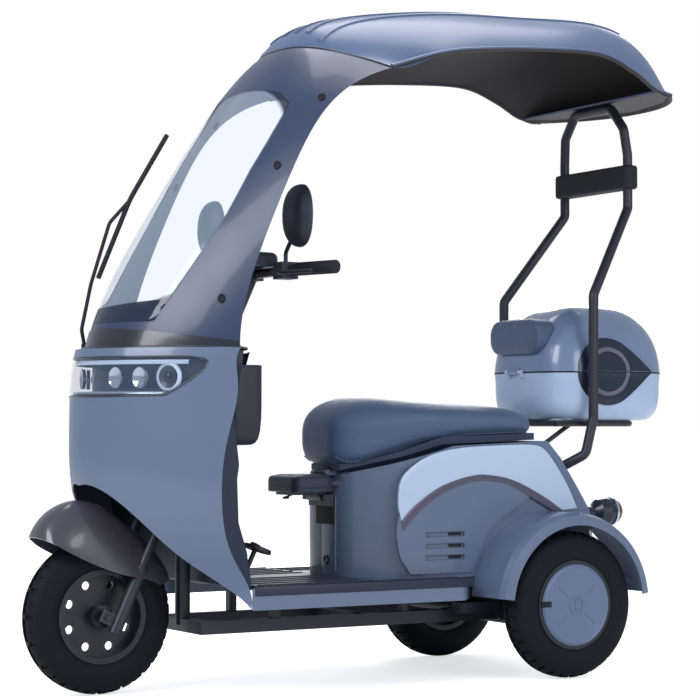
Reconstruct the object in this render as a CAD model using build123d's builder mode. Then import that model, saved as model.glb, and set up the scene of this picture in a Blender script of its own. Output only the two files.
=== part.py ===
from build123d import *
import math
import os

# Electric tricycle with a rain canopy. Millimetres. Forward is -Y, the rider's left is +X,
# the ground is Z = 0 and the origin lies under the middle of the outline.

# Running gear
wheel_radius = 180
tyre_width = 80
rim_radius = 104
wheelbase = 1133
track = 582
front_axle_y = -708
rear_axle_y = front_axle_y + wheelbase
bearing_gap = 0.3
seat_gap = 0.2
axle_radius = 7
hub_radius = 26
drum_radius = 55

# Steering, raked back from the vertical
rake_deg = 25
fork_offset = 30
leg_spacing = 62
slider_radius = 15
stanchion_radius = 11
stem_radius = 14
head_radius = 25
bar_z = 985

# Bodywork
skin = 4
shell_half_width = 300
belt_z = 798
floor_z = 250
floor_half_width = 278
floor_front_y = -446
floor_rear_y = 163
skirt_z = 200
base_half_width = 205
seat_line_z = 512

# Rear hoop, rack and top box
hoop_radius = 12.5
hoop_top_x = 138
hoop_low_x = 200
hoop_top_z = 1460
box_front_y = 478
box_rear_y = 872
box_half_width = 180
box_floor_z = 640
box_split_z = 760
box_top_z = 936
box_wall = 3

rake = math.radians(rake_deg)
steer_up = (0, math.sin(rake), math.cos(rake))
steer_foot = (0, front_axle_y + fork_offset / math.cos(rake), wheel_radius)


def on_steer(along, ahead=0, side=0):
    """Point at a height along the steering axis, a distance ahead of it and to one side."""
    return (
        side,
        steer_foot[1] + along * steer_up[1] - ahead * steer_up[2],
        steer_foot[2] + along * steer_up[2] + ahead * steer_up[1],
    )


def steer_plane(along, ahead=0, side=0):
    """Plane across the steering axis, its X to the left and its Z up the axis."""
    return Plane(origin=on_steer(along, ahead, side), x_dir=(1, 0, 0), z_dir=steer_up)


os.makedirs("parts", exist_ok=True)


# ---------------------------------------------------------------- shared forms
def arch_points(foot, crown, half, squareness, inset):
    """Points of one arch from the right foot over the crown to the left foot."""
    reach = math.hypot(crown[0] - foot[0], crown[1] - foot[1])
    lift = (crown[0] - foot[0]) / reach, (crown[1] - foot[1]) / reach
    points = []
    for share in (-1, -0.9, -0.62, -0.3, 0, 0.3, 0.62, 0.9, 1):
        height = (reach - inset) * (1 - abs(share) ** squareness)
        points.append(
            (share * (half - inset), foot[0] + lift[0] * height, foot[1] + lift[1] * height)
        )
    return points


def crescent_wire(outer, inner):
    """Closed outline between two arches that run the same way."""
    return Wire(
        [
            Edge.make_spline([Vector(*p) for p in outer]),
            Edge.make_line(outer[-1], inner[-1]),
            Edge.make_spline([Vector(*p) for p in reversed(inner)]),
            Edge.make_line(inner[0], outer[0]),
        ]
    )


def arch_shell(stations, outer_inset, inner_inset):
    """Curved skin lofted through stations of (foot, crown, half width, squareness)."""
    wires = []
    for foot, crown, half, squareness in stations:
        outer = arch_points(foot, crown, half, squareness, outer_inset)
        inner = arch_points(foot, crown, half, squareness, inner_inset)
        wires.append(crescent_wire(outer, inner))
    return Solid.make_loft(wires)


def oval_wire(centre, across, upward, half_across, half_up, squareness=2.0):
    """Rounded closed outline about a centre, in the plane of two unit directions."""
    points = []
    for step in range(16):
        turn = math.radians(22.5 * step)
        side = math.copysign(abs(math.cos(turn)) ** (2 / squareness), math.cos(turn))
        lift = math.copysign(abs(math.sin(turn)) ** (2 / squareness), math.sin(turn))
        points.append(
            Vector(*centre)
            + Vector(*across) * (side * half_across)
            + Vector(*upward) * (lift * half_up)
        )
    return Wire([Edge.make_spline(points, periodic=True)])


def bar_path(points, bend):
    """Wire through points with rounded corners."""
    with BuildLine() as line:
        FilletPolyline(*points, radius=bend)
    return line.wires()[0]


def round_bar(path, radius):
    """Round bar along a wire."""
    with BuildSketch(Plane(origin=path @ 0, z_dir=path % 0)) as section:
        Circle(radius)
    return Solid.sweep(section.sketch.faces()[0], path)


def strut(start, end, radius):
    """Straight round bar between two points."""
    axis = Vector(*end) - Vector(*start)
    return Solid.make_cylinder(radius, axis.length, Plane(origin=start, z_dir=axis))


# ---------------------------------------------------------------- canopy and windscreen
# Stations of foot (y, z) at the side, crown (y, z) on the centre line, half width, squareness
windscreen_stations = [
    ((-492, belt_z), (-722, belt_z), 300, 2.0),
    ((-440, 1020), (-628, 1010), 300, 2.0),
    ((-355, 1213), (-504, 1202), 300, 2.0),
    ((-225, 1398), (-330, 1445), 300, 2.2),
    ((-88, 1467), (-236, 1538), 304, 2.5),
]
roof_stations = [
    windscreen_stations[-1],
    ((40, 1508), (-50, 1632), 308, 2.7),
    ((150, 1528), (127, 1656), 310, 2.8),
    ((335, 1545), (335, 1668), 310, 2.8),
    ((520, 1550), (560, 1679), 310, 2.8),
    ((630, 1515), (720, 1662), 308, 2.7),
    ((700, 1478), (820, 1590), 302, 2.5),
    ((765, 1466), (888, 1466), 290, 2.3),
]
shell_skin = 6
glass_inset = 1

# Side view of the glazed opening, (y, z); it runs out past the front
window_outline = [
    (-1000, 858), (-640, 858), (-628, 880), (-590, 940), (-545, 1010), (-480, 1110),
    (-420, 1215), (-360, 1310), (-318, 1375), (-318, 1408), (-345, 1425), (-1000, 1425),
]

with BuildPart() as window_cut:
    with BuildSketch(Plane.YZ.offset(-400)):
        with BuildLine():
            Polyline(*window_outline, close=True)
        make_face()
    extrude(amount=800)

with BuildPart() as windscreen_frame:
    add(arch_shell(windscreen_stations, 0, shell_skin))
    add(window_cut.part, mode=Mode.SUBTRACT)
windscreen_frame.part.label = "windscreen_frame"
export_step(windscreen_frame.part, "parts/windscreen_frame.step")

with BuildPart() as windscreen_glass:
    add(arch_shell(windscreen_stations, glass_inset, glass_inset + skin))
    add(window_cut.part, mode=Mode.INTERSECT)
windscreen_glass.part.label = "windscreen_glass"
export_step(windscreen_glass.part, "parts/windscreen_glass.step")

# A flange closes the roof's tail from below, and the rear hoop bolts to it.
flange_outline = [
    (-294, 712), (294, 712), (283, 762), (170, 838), (0, 878), (-170, 838), (-283, 762),
]
rib_height = 4
rib_width = 16
rib_pitch = 60
with BuildPart() as roof_ribs:
    for place in range(-5, 6, 2):
        with Locations((place * rib_pitch / 2, 250, 1600)):
            Box(rib_width, 900, 300)
    add(arch_shell(roof_stations, -rib_height, shell_skin / 2), mode=Mode.INTERSECT)

with BuildPart() as roof:
    add(arch_shell(roof_stations, 0, shell_skin))
    add(roof_ribs.part)
    with BuildSketch(Plane.XY.offset(hoop_top_z + hoop_radius)):
        with BuildLine():
            Polyline(*flange_outline, close=True)
        make_face()
    extrude(amount=5)
roof.part.label = "roof"
export_step(roof.part, "parts/roof.step")

wiper_x = -150
wiper_arm = [(-676, belt_z + 12), (-684, 850), (-660, 960), (-612, 1110), (-560, 1166)]
wiper_blade = [(-641, 975), (-558, 1170), (-459, 1333)]
with BuildPart() as wiper:
    add(strut((wiper_x, -676, belt_z), (wiper_x, -676, belt_z + 18), 8))
    add(round_bar(bar_path([(wiper_x, y, z) for y, z in wiper_arm], 36), 4.5))
    add(round_bar(bar_path([(wiper_x, y, z) for y, z in wiper_blade], 300), 6))
wiper.part.label = "wiper"
export_step(wiper.part, "parts/wiper.step")

# ---------------------------------------------------------------- front shield and lamps
shield_stations = [
    ((-492, belt_z), (-748, belt_z), 304, 2.0),
    ((-500, 720), (-761, 720), 305, 2.0),
    ((-520, 610), (-762, 610), 304, 2.0),
    ((-537, 500), (-757, 500), 300, 2.0),
    ((-530, 400), (-735, 400), 294, 2.0),
    ((-500, 320), (-700, 320), 286, 2.0),
    ((-462, 262), (-662, 262), 280, 2.0),
    ((-450, 234), (-643, 234), 278, 2.0),
    ((-450, skirt_z), (-625, skirt_z), 277, 2.0),
]
# Front view of the wheel arch, left half, from the skirt up to the crown
arch_outline = [(285, 190), (252, 245), (205, 330), (165, 400), (110, 458), (0, 482)]
# Front view of the lamp band, left half
lamp_outline = [(0, 777), (240, 777), (268, 768), (262, 742), (214, 690), (0, 686)]

with BuildPart() as arch_cut:
    with BuildSketch(Plane.XZ.offset(430)):
        with BuildLine():
            left = Spline(*arch_outline)
            right = Spline(*[(-x, z) for x, z in reversed(arch_outline)])
            Polyline(right @ 1, (-285, 100), (285, 100), left @ 0)
        make_face()
    extrude(amount=500)

with BuildPart() as lamp_cut:
    with BuildSketch(Plane.XZ.offset(480)) as lamp_face:
        with BuildLine():
            Polyline(*lamp_outline, *[(-x, z) for x, z in reversed(lamp_outline[1:-1])], close=True)
        make_face()
    extrude(amount=400)

with BuildPart() as lamp_well:
    with BuildSketch(Plane.XZ.offset(470)):
        offset(lamp_face.sketch, amount=-skin, kind=Kind.INTERSECTION)
    extrude(amount=420)

ledge_outer = arch_points((-492, belt_z - skin), (-748, belt_z - skin), 304, 2.0, 1)
ledge_inner = arch_points((-500, belt_z - skin), (-712, belt_z - skin), 286, 2.0, 0)
with BuildPart() as front_shield:
    add(arch_shell(shield_stations, 0, skin))
    add(Solid.extrude(Face(crescent_wire(ledge_outer, ledge_inner)), Vector(0, 0, skin)))
    add(arch_cut.part, mode=Mode.SUBTRACT)
    add(lamp_cut.part, mode=Mode.SUBTRACT)
front_shield.part.label = "front_shield"
export_step(front_shield.part, "parts/front_shield.step")

with BuildPart() as headlight_lens:
    add(arch_shell(shield_stations[:4], 0, skin))
    add(lamp_cut.part, mode=Mode.INTERSECT)
headlight_lens.part.label = "headlight_lens"
export_step(headlight_lens.part, "parts/headlight_lens.step")

lamp_depth = 60
with BuildPart() as housing_well:
    add(arch_shell(shield_stations[:4], 0, lamp_depth - skin))
    add(lamp_well.part, mode=Mode.INTERSECT)

with BuildPart() as headlight_housing:
    add(arch_shell(shield_stations[:4], skin, lamp_depth))
    add(lamp_cut.part, mode=Mode.INTERSECT)
    add(housing_well.part, mode=Mode.SUBTRACT)
    for side in (-1, 1):
        add(strut((side * 178, -584, 731), (side * 189, -625, 731), 28))
headlight_housing.part.label = "headlight_housing"
export_step(headlight_housing.part, "parts/headlight_housing.step")

panel_stations = [
    ((-500, belt_z - 6), (-352, belt_z - 6), 287, 2.2),
    ((-510, 700), (-398, 700), 291, 2.6),
    ((-530, 600), (-438, 600), 291, 3.0),
    ((-546, 500), (-455, 500), 287, 3.0),
    ((-540, 400), (-455, 400), 281, 3.0),
    ((-508, 320), (-452, 320), 273, 3.0),
    ((-466, floor_z + 1), (-452, floor_z + 1), 266, 3.0),
]
pocket_x = 172
pocket_y = -440
pocket_size = (140, 92)
pocket_floor_z = 575
pocket_top_z = 757
with BuildPart() as pocket_blocks:
    for side in (-1, 1):
        with BuildSketch(Plane.XY.offset(pocket_floor_z)):
            with Locations((side * pocket_x, pocket_y)):
                RectangleRounded(*pocket_size, 26)
        extrude(amount=pocket_top_z - pocket_floor_z)

with BuildPart() as storage_pockets:
    add(pocket_blocks.part)
    for side in (-1, 1):
        with BuildSketch(Plane.XY.offset(pocket_floor_z + skin)):
            with Locations((side * pocket_x, pocket_y)):
                RectangleRounded(pocket_size[0] - 2 * skin, pocket_size[1] - 2 * skin, 22)
        extrude(amount=220, mode=Mode.SUBTRACT)
storage_pockets.part.label = "storage_pockets"
export_step(storage_pockets.part, "parts/storage_pockets.step")

with BuildPart() as inner_panel:
    add(arch_shell(panel_stations, 0, skin))
    add(pocket_blocks.part, mode=Mode.SUBTRACT)
    for side in (-1, 1):
        with BuildSketch(Plane.XY.offset(pocket_top_z)):
            with Locations((side * pocket_x, pocket_y)):
                RectangleRounded(pocket_size[0] - 2 * skin, pocket_size[1] - 2 * skin, 22)
        extrude(amount=60, mode=Mode.SUBTRACT)
inner_panel.part.label = "inner_panel"
export_step(inner_panel.part, "parts/inner_panel.step")

stem_at_belt = on_steer((belt_z - wheel_radius) / steer_up[2])
with BuildPart() as dashboard:
    with BuildSketch(Plane.XY.offset(belt_z + 0.3)):
        with BuildLine():
            front = Spline((283, -506), (200, -602), (100, -678), (0, -706), (-100, -678),
                           (-200, -602), (-283, -506))
            rear = Spline((-283, -506), (-200, -425), (-100, -370), (0, -352), (100, -370),
                          (200, -425), (283, -506))
        make_face()
        with Locations((0, stem_at_belt[1])):
            Ellipse(stem_radius + 7, stem_radius + 10, mode=Mode.SUBTRACT)
    extrude(amount=skin)
dashboard.part.label = "dashboard"
export_step(dashboard.part, "parts/dashboard.step")

# ---------------------------------------------------------------- floor
with BuildPart() as floor_board:
    with BuildSketch(Plane.XY.offset(skirt_z)) as floor_plan:
        with BuildLine():
            Polyline((-floor_half_width, floor_front_y), (-floor_half_width, floor_rear_y),
                     (floor_half_width, floor_rear_y), (floor_half_width, floor_front_y),
                     close=True)
        make_face()
        fillet(floor_plan.vertices().group_by(Axis.Y)[-1], 42)
    extrude(amount=floor_z - skirt_z)
    with BuildSketch(Plane.XY.offset(skirt_z)):
        with BuildLine():
            Polyline((-floor_half_width + skin, floor_front_y - 1),
                     (-floor_half_width + skin, floor_rear_y - skin),
                     (floor_half_width - skin, floor_rear_y - skin),
                     (floor_half_width - skin, floor_front_y - 1), close=True)
        make_face()
    extrude(amount=floor_z - skirt_z - skin, mode=Mode.SUBTRACT)
floor_board.part.label = "floor_board"
export_step(floor_board.part, "parts/floor_board.step")

mat_rear_y = -112
with BuildPart() as floor_mat:
    with BuildSketch(Plane.XY.offset(floor_z + 0.2)):
        with Locations((0, (floor_front_y + 12 + mat_rear_y) / 2)):
            RectangleRounded(2 * floor_half_width - 20, mat_rear_y - floor_front_y - 12, 20)
    extrude(amount=5)
floor_mat.part.label = "floor_mat"
export_step(floor_mat.part, "parts/floor_mat.step")

with BuildPart() as brake_pedal:
    add(round_bar(bar_path([(120, -378, floor_z + 5.4), (120, -378, 285), (120, -356, 330)], 8), 6))
    add(strut((120, -352, 326), (120, -349, 334), 34))
brake_pedal.part.label = "brake_pedal"
export_step(brake_pedal.part, "parts/brake_pedal.step")

# ---------------------------------------------------------------- frame
rail_x = 110
rail_z = 150
rail = 30
riser_x = 135
head_low = (500 - wheel_radius) / steer_up[2]
head_high = (640 - wheel_radius) / steer_up[2]
with BuildPart() as frame:
    for side in (-1, 1):
        with Locations((side * rail_x, -88, rail_z)):
            Box(rail, 824, rail)
        with Locations((side * riser_x, 338, 280)):
            Box(26, 26, 290)
        with Locations((side * riser_x, 423, 412)):
            Box(26, 194, 26)
        with Locations((side * riser_x, 430, 456)):
            Box(26, 26, 70)
        for post_y in (-300, 60):
            with Locations((side * rail_x, post_y, 197)):
                Box(20, 20, 64)
    for cross_y in (-485, -60, 338):
        with Locations((0, cross_y, rail_z)):
            Box(2 * rail_x if cross_y < 300 else 2 * riser_x + 26, rail, rail)
    for post_y in (-300, 60):
        with Locations((0, post_y, 235.8)):
            Box(520, 20, 20)
    with Locations((0, 338, 240)):
        Box(2 * riser_x, 26, 20)
    add(strut((-185, 190, 172), (185, 190, 172), 12))
    add(strut((-185, 472, 412), (185, 472, 412), 12))
    add(strut((0, -487, rail_z), (0, -487, 575), 18))
    with BuildSketch(steer_plane(head_low)):
        Circle(head_radius)
    extrude(amount=head_high - head_low)
    with BuildSketch(steer_plane(head_low - 20)):
        Circle(stem_radius + bearing_gap)
    extrude(amount=head_high - head_low + 40, mode=Mode.SUBTRACT)
frame.part.label = "frame"
export_step(frame.part, "parts/frame.step")

with BuildPart() as battery_box:
    with Locations((0, 130, floor_z + 0.5 + 86)):
        Box(232, 362, 172)
battery_box.part.label = "battery_box"
export_step(battery_box.part, "parts/battery_box.step")

# ---------------------------------------------------------------- seat base
base_plan = [
    (0, -106), (55, -104), (85, -92), (122, -60), (162, -18), (192, 40), (205, 110),
]
base_side = [
    (-110, floor_z + 0.5), (-110, 440), (-100, 470), (-84, seat_line_z - 6), (150, 571),
    (430, 582), (470, 540), (519, 470), (565, 400), (598, 330), (606, 262), (598, 215),
    (250, 215), (236, floor_z + 0.5),
]
base_core_side = [
    (-102, 180), (-102, 438), (-93, 468), (-80, 500), (-80, 720), (408, 720), (408, 578),
    (427, 577), (466, 537), (515, 467), (561, 398), (594, 329), (602, 262), (595, 180),
]


def base_form(inset, side_outline):
    """Body under the seat: its plan, cut to its side view."""
    with BuildPart() as form:
        with BuildSketch(Plane.XY.offset(150)) as plan:
            with BuildLine():
                edge = Spline(*[(max(x - inset, 0), y + inset) for x, y in base_plan])
                Polyline(edge @ 1, (205 - inset, 560), (160 - inset / 2, 607 - inset),
                         (0, 607 - inset), edge @ 0)
            make_face()
            mirror(about=Plane.YZ)
        extrude(amount=700)
        with BuildSketch(Plane.YZ.offset(-300)):
            with BuildLine():
                Polyline(*side_outline, close=True)
            make_face()
        extrude(amount=600, mode=Mode.INTERSECT)
    return form.part


hoop_points = [
    (riser_x, 430, 504), (riser_x, 500, 504), (196, 556, 548), (hoop_low_x, 578, 640),
    (hoop_low_x, 580, 955), (hoop_top_x, 740, 1190), (hoop_top_x, 740, 1330),
    (hoop_top_x - 10, 735, hoop_top_z - 60), (hoop_top_x - 60, 732, hoop_top_z),
]
hoop_wire = bar_path(
    hoop_points + [(-x, y, z) for x, y, z in reversed(hoop_points)], 24
)
base_outer = base_form(0, base_side)
saddle_hinge = (-108, 506)
knuckle_radius = 7
pin_radius = 4
knuckle_half = 18
lug_width = 12
lug_x = knuckle_half + 4 + lug_width / 2


def hinge_barrel(hinge, centre_x, width, radius):
    """Cylinder along the hinge line of a lid or a seat."""
    return strut((centre_x - width / 2, *hinge), (centre_x + width / 2, *hinge), radius)


with BuildPart() as seat_base:
    add(base_outer)
    add(base_form(skin, base_core_side), mode=Mode.SUBTRACT)
    add(round_bar(hoop_wire, hoop_radius + 1.5), mode=Mode.SUBTRACT)
    for side in (-1, 1):
        add(hinge_barrel(saddle_hinge, side * lug_x, lug_width, knuckle_radius))
        with Locations((side * lug_x, saddle_hinge[0] + 12, saddle_hinge[1] - 2)):
            Box(lug_width, 24, 10)
    add(hinge_barrel(saddle_hinge, 0, 2 * lug_x, pin_radius))
seat_base.part.label = "seat_base"
export_step(seat_base.part, "parts/seat_base.step")

# ---------------------------------------------------------------- rear hoop, rack and lamps
with BuildPart() as roof_hoop:
    add(round_bar(hoop_wire, hoop_radius))
roof_hoop.part.label = "roof_hoop"
export_step(roof_hoop.part, "parts/roof_hoop.step")

pad_y = 740
with BuildPart() as hoop_pad:
    with BuildSketch(Plane.XY.offset(1240)):
        with Locations((0, pad_y)):
            RectangleRounded(2 * hoop_top_x + 50, 48, 22)
        for side in (-1, 1):
            with Locations((side * hoop_top_x, pad_y)):
                Circle(hoop_radius + seat_gap, mode=Mode.SUBTRACT)
    extrude(amount=62)
    fillet(hoop_pad.faces().sort_by(Axis.Z)[-1].outer_wire().edges(), 8)
    fillet(hoop_pad.faces().sort_by(Axis.Z)[0].outer_wire().edges(), 8)
hoop_pad.part.label = "hoop_pad"
export_step(hoop_pad.part, "parts/hoop_pad.step")

rack_z = 626
rack_radius = 8
rack_end_x = hoop_low_x - hoop_radius - 1.2
with BuildPart() as luggage_rack:
    add(round_bar(bar_path([(-140, 500, rack_z), (-140, 760, rack_z), (140, 760, rack_z),
                            (140, 500, rack_z)], 40), rack_radius))
    add(strut((-rack_end_x, 578, rack_z), (rack_end_x, 578, rack_z), rack_radius))
    add(strut((-140, 520, rack_z), (140, 520, rack_z), rack_radius))
    add(strut((-140, 690, rack_z), (140, 690, rack_z), rack_radius))
    for side in (-1, 1):
        add(strut((side * 100, 577, rack_z - 3), (side * 100, 462, 553), rack_radius - 2))
    add(base_outer, mode=Mode.SUBTRACT)
luggage_rack.part.label = "luggage_rack"
export_step(luggage_rack.part, "parts/luggage_rack.step")

lamp_z = 400
with BuildPart() as tail_lamps:
    for side in (-1, 1):
        with BuildSketch(Plane.XY.offset(lamp_z)):
            with BuildLine():
                centre_x = side * 178
                Polyline((centre_x, 550), (centre_x + 12, 550), (centre_x + 14, 590),
                         (centre_x + 31, 604), (centre_x + 35, 630), (centre_x + 33, 652))
                Spline((centre_x + 33, 652), (centre_x + 22, 667), (centre_x, 672))
                Line((centre_x, 672), (centre_x, 550))
            make_face()
        revolve(axis=Axis((centre_x, 0, lamp_z), (0, 1, 0)))
    add(base_outer, mode=Mode.SUBTRACT)
tail_lamps.part.label = "tail_lamps"
export_step(tail_lamps.part, "parts/tail_lamps.step")

plate_hole_x = 50
plate_hole_radius = 3.25
with BuildPart() as plate_bracket:
    with Locations((0, 616, 330)):
        Box(150, 4, 90)
    with Locations((0, 605, 330)):
        Box(60, 21, 30)
    for side in (-1, 1):
        add(strut((side * plate_hole_x, 600, 350), (side * plate_hole_x, 630, 350),
                  plate_hole_radius), mode=Mode.SUBTRACT)
    add(base_outer, mode=Mode.SUBTRACT)
plate_bracket.part.label = "plate_bracket"
export_step(plate_bracket.part, "parts/plate_bracket.step")

# ---------------------------------------------------------------- rear fenders and side panels
fender_radius = 226
fender_start = math.radians(6)
fender_section = [
    (205.4, 226), (322, 226), (338, 219), (346, 205), (346, 196), (342, 196), (342, 204),
    (335, 215.5), (321, 222), (205.4, 222),
]
fender_plane = Plane(
    origin=(0, rear_axle_y, wheel_radius),
    x_dir=(1, 0, 0),
    z_dir=(0, -math.sin(fender_start), math.cos(fender_start)),
)
with BuildPart() as rear_fenders:
    with BuildSketch(fender_plane):
        for side in (-1, 1):
            with BuildLine():
                Polyline(*[(side * x, r) for x, r in fender_section], close=True)
            make_face()
    revolve(axis=Axis((0, rear_axle_y, wheel_radius), (1, 0, 0)), revolution_arc=168)
rear_fenders.part.label = "rear_fenders"
export_step(rear_fenders.part, "parts/rear_fenders.step")

vent_outline = [(60, 290), (178, 290), (186, 372), (56, 372)]
with BuildPart() as side_panels:
    for side in (-1, 1):
        with BuildSketch(Plane.YZ.offset(side * (base_half_width + seat_gap))):
            with BuildLine():
                Spline((-8, 300), (-6, 430), (60, 520), (170, 553), (300, 540), (400, 460))
                Polyline((400, 460), (350, 430), (252, 372), (196, 262), (20, 262), (-8, 300))
            make_face()
            with Locations((118, 300), (118, 328), (118, 356)):
                SlotOverall(116, 13, mode=Mode.SUBTRACT)
        extrude(amount=side * 6)
side_panels.part.label = "side_panels"
export_step(side_panels.part, "parts/side_panels.step")

# ---------------------------------------------------------------- rear axle and suspension
wheel_x = track / 2
with BuildPart() as rear_axle:
    add(strut((-244, rear_axle_y, wheel_radius), (244, rear_axle_y, wheel_radius), 22))
    add(strut((-80, rear_axle_y, wheel_radius), (80, rear_axle_y, wheel_radius), 68))
    add(strut((-wheel_x - 24, rear_axle_y, wheel_radius), (wheel_x + 24, rear_axle_y, wheel_radius),
              axle_radius + 2))
    for side in (-1, 1):
        add(strut((side * 243, rear_axle_y, wheel_radius), (side * 249, rear_axle_y, wheel_radius), 56))
        with Locations((side * 168, 307, 172)):
            Box(26, 262, 26)
        with Locations((side * 168, 436, 208)):
            Box(26, 30, 24)
    add(strut((-190, 190, 172), (190, 190, 172), 12.2), mode=Mode.SUBTRACT)
rear_axle.part.label = "rear_axle"
export_step(rear_axle.part, "parts/rear_axle.step")

with BuildPart() as rear_shocks:
    for side in (-1, 1):
        add(strut((side * 168, 440, 220.2), (side * 168, 440, 262), 12))
        add(strut((side * 168, 440, 246), (side * 168, 468, 372), 24))
        add(strut((side * 168, 472, 350), (side * 168, 472, 404), 12))
    add(strut((-190, 472, 412), (190, 472, 412), 12.2), mode=Mode.SUBTRACT)
rear_shocks.part.label = "rear_shocks"
export_step(rear_shocks.part, "parts/rear_shocks.step")

# ---------------------------------------------------------------- saddle and child seat
saddle_stations = [
    (-126, 52, 560, 612), (-112, 92, 532, 652), (-70, 124, 520, 678), (40, 148, 548, 684),
    (180, 166, 581, 674), (320, 170, 590, 668), (405, 160, 592, 656), (432, 120, 602, 636),
]
with BuildPart() as seat_cushion:
    add(
        Solid.make_loft(
            [
                oval_wire((0, y, (low + high) / 2), (1, 0, 0), (0, 0, 1), half, (high - low) / 2, 3.2)
                for y, half, low, high in saddle_stations
            ]
        )
    )
seat_cushion.part.label = "seat_cushion"
export_step(seat_cushion.part, "parts/seat_cushion.step")

with BuildPart() as seat_pan:
    with BuildSketch(Plane.YZ.offset(-150)):
        with BuildLine():
            Polyline((-96, seat_line_z - 1), (150, 574), (428, 584.5), (428, 602), (150, 592),
                     (-60, 530), (-96, 526), close=True)
        make_face()
    extrude(amount=300)
    with BuildSketch(Plane.XY.offset(400)):
        with BuildLine():
            Polyline((-70, -96), (70, -96), (150, 40), (150, 428), (-150, 428), (-150, 40),
                     close=True)
        make_face()
    extrude(amount=300, mode=Mode.INTERSECT)
    add(hinge_barrel(saddle_hinge, 0, 2 * knuckle_half, knuckle_radius))
    with Locations((0, saddle_hinge[0] + 9, saddle_hinge[1] + 8.5)):
        Box(2 * knuckle_half, 16, 10)
    add(hinge_barrel(saddle_hinge, 0, 4 * knuckle_half, pin_radius + bearing_gap),
        mode=Mode.SUBTRACT)
    add(seat_cushion.part, mode=Mode.SUBTRACT)
seat_pan.part.label = "seat_pan"
export_step(seat_pan.part, "parts/seat_pan.step")

child_hinge = (-122, 446)
with BuildPart() as child_pad:
    with BuildSketch(Plane.XY.offset(458)):
        with Locations((0, -168)):
            RectangleRounded(160, 116, 26)
    extrude(amount=42)
    fillet(child_pad.faces().sort_by(Axis.Z)[-1].edges(), 12)
child_pad.part.label = "child_pad"
export_step(child_pad.part, "parts/child_pad.step")

with BuildPart() as child_bracket:
    with Locations((0, -168, 454.6)):
        Box(80, 90, 6)
    add(strut((-35, child_hinge[0], child_hinge[1]), (35, child_hinge[0], child_hinge[1]), 10))
    with Locations((0, -128, 451)):
        Box(60, 12, 10)
    add(strut((-40, child_hinge[0], child_hinge[1]), (40, child_hinge[0], child_hinge[1]),
              6 + bearing_gap), mode=Mode.SUBTRACT)
child_bracket.part.label = "child_bracket"
export_step(child_bracket.part, "parts/child_bracket.step")

with BuildPart() as child_mount:
    with Locations((0, -108.2, child_hinge[1] - 8)):
        Box(116, 4, 30)
    for side in (-1, 1):
        with Locations((side * 52, -118, child_hinge[1] - 1)):
            Box(12, 20, 14)
    add(strut((-55, child_hinge[0], child_hinge[1]), (55, child_hinge[0], child_hinge[1]), 6))
    add(base_outer, mode=Mode.SUBTRACT)
child_mount.part.label = "child_mount"
export_step(child_mount.part, "parts/child_mount.step")

# ---------------------------------------------------------------- top box
box_mid_y = (box_front_y + box_rear_y) / 2
box_half_length = (box_rear_y - box_front_y) / 2


def box_form(levels, inset):
    """Rounded case lofted through levels of (z, share of the full plan)."""
    return Solid.make_loft(
        [
            oval_wire((0, box_mid_y, z), (1, 0, 0), (0, 1, 0), box_half_width * share - inset,
                      box_half_length * share - inset, 3.4)
            for z, share in levels
        ]
    )


low_z = rack_z + rack_radius + 0.3
base_levels = [(low_z, 0.80), (low_z + 14, 0.91), (low_z + 55, 0.98), (box_split_z - 2, 1.0)]
base_core = [(low_z + box_wall, 0.80), (low_z + 17, 0.91), (low_z + 58, 0.98), (box_split_z + 9, 1.0)]
lid_levels = [
    (box_split_z, 1.0), (box_split_z + 45, 0.97), (box_split_z + 95, 0.88),
    (box_split_z + 140, 0.70), (box_split_z + 165, 0.50), (box_top_z, 0.30),
]
lid_core = [
    (box_split_z - 9, 1.0), (box_split_z + 45, 0.97), (box_split_z + 93, 0.88),
    (box_split_z + 137, 0.70), (box_split_z + 162, 0.50), (box_top_z - box_wall, 0.30),
]
lid_hinge = (box_front_y - 7, box_split_z - 1)
lid_knuckle = 6
lid_pin = 3
with BuildPart() as box_base:
    add(box_form(base_levels, 0))
    add(box_form(base_core, box_wall), mode=Mode.SUBTRACT)
    for side in (-1, 1):
        add(hinge_barrel(lid_hinge, side * lug_x, lug_width, lid_knuckle))
        with Locations((side * lug_x, lid_hinge[0] + 4.5, lid_hinge[1] - 8)):
            Box(lug_width, 9, 12)
    add(hinge_barrel(lid_hinge, 0, 2 * lug_x, lid_pin))
box_base.part.label = "box_base"
export_step(box_base.part, "parts/box_base.step")

with BuildPart() as box_lid:
    add(box_form(lid_levels, 0))
    add(box_form(lid_core, box_wall), mode=Mode.SUBTRACT)
    add(hinge_barrel(lid_hinge, 0, 2 * knuckle_half, lid_knuckle))
    with Locations((0, lid_hinge[0] + 5, lid_hinge[1] + 5)):
        Box(2 * knuckle_half, 10, 8)
    add(hinge_barrel(lid_hinge, 0, 4 * knuckle_half, lid_pin + bearing_gap), mode=Mode.SUBTRACT)
box_lid.part.label = "box_lid"
export_step(box_lid.part, "parts/box_lid.step")

with BuildPart() as back_pad:
    with BuildSketch(Plane.XZ.offset(-470)):
        with Locations((0, 850)):
            RectangleRounded(220, 92, 40)
    extrude(amount=-60)
    add(box_form(lid_levels, 0), mode=Mode.SUBTRACT)
    with Locations((0, 620, 850)):
        Box(400, 170, 300, mode=Mode.SUBTRACT)
back_pad.part.label = "back_pad"
export_step(back_pad.part, "parts/back_pad.step")

# ---------------------------------------------------------------- wheels
tyre_section = [
    (rim_radius, 27), (120, 40), (155, 38.5), (171, 28), (wheel_radius, 13),
    (wheel_radius, -13), (171, -28), (155, -38.5), (120, -40), (rim_radius, -27),
]
rim_section = [
    (96, 34.5), (109, 34.5), (109, 31.9), (rim_radius - seat_gap, 27.4),
    (rim_radius - seat_gap, -27.4), (109, -31.9), (109, -34.5), (96, -34.5),
]


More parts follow.
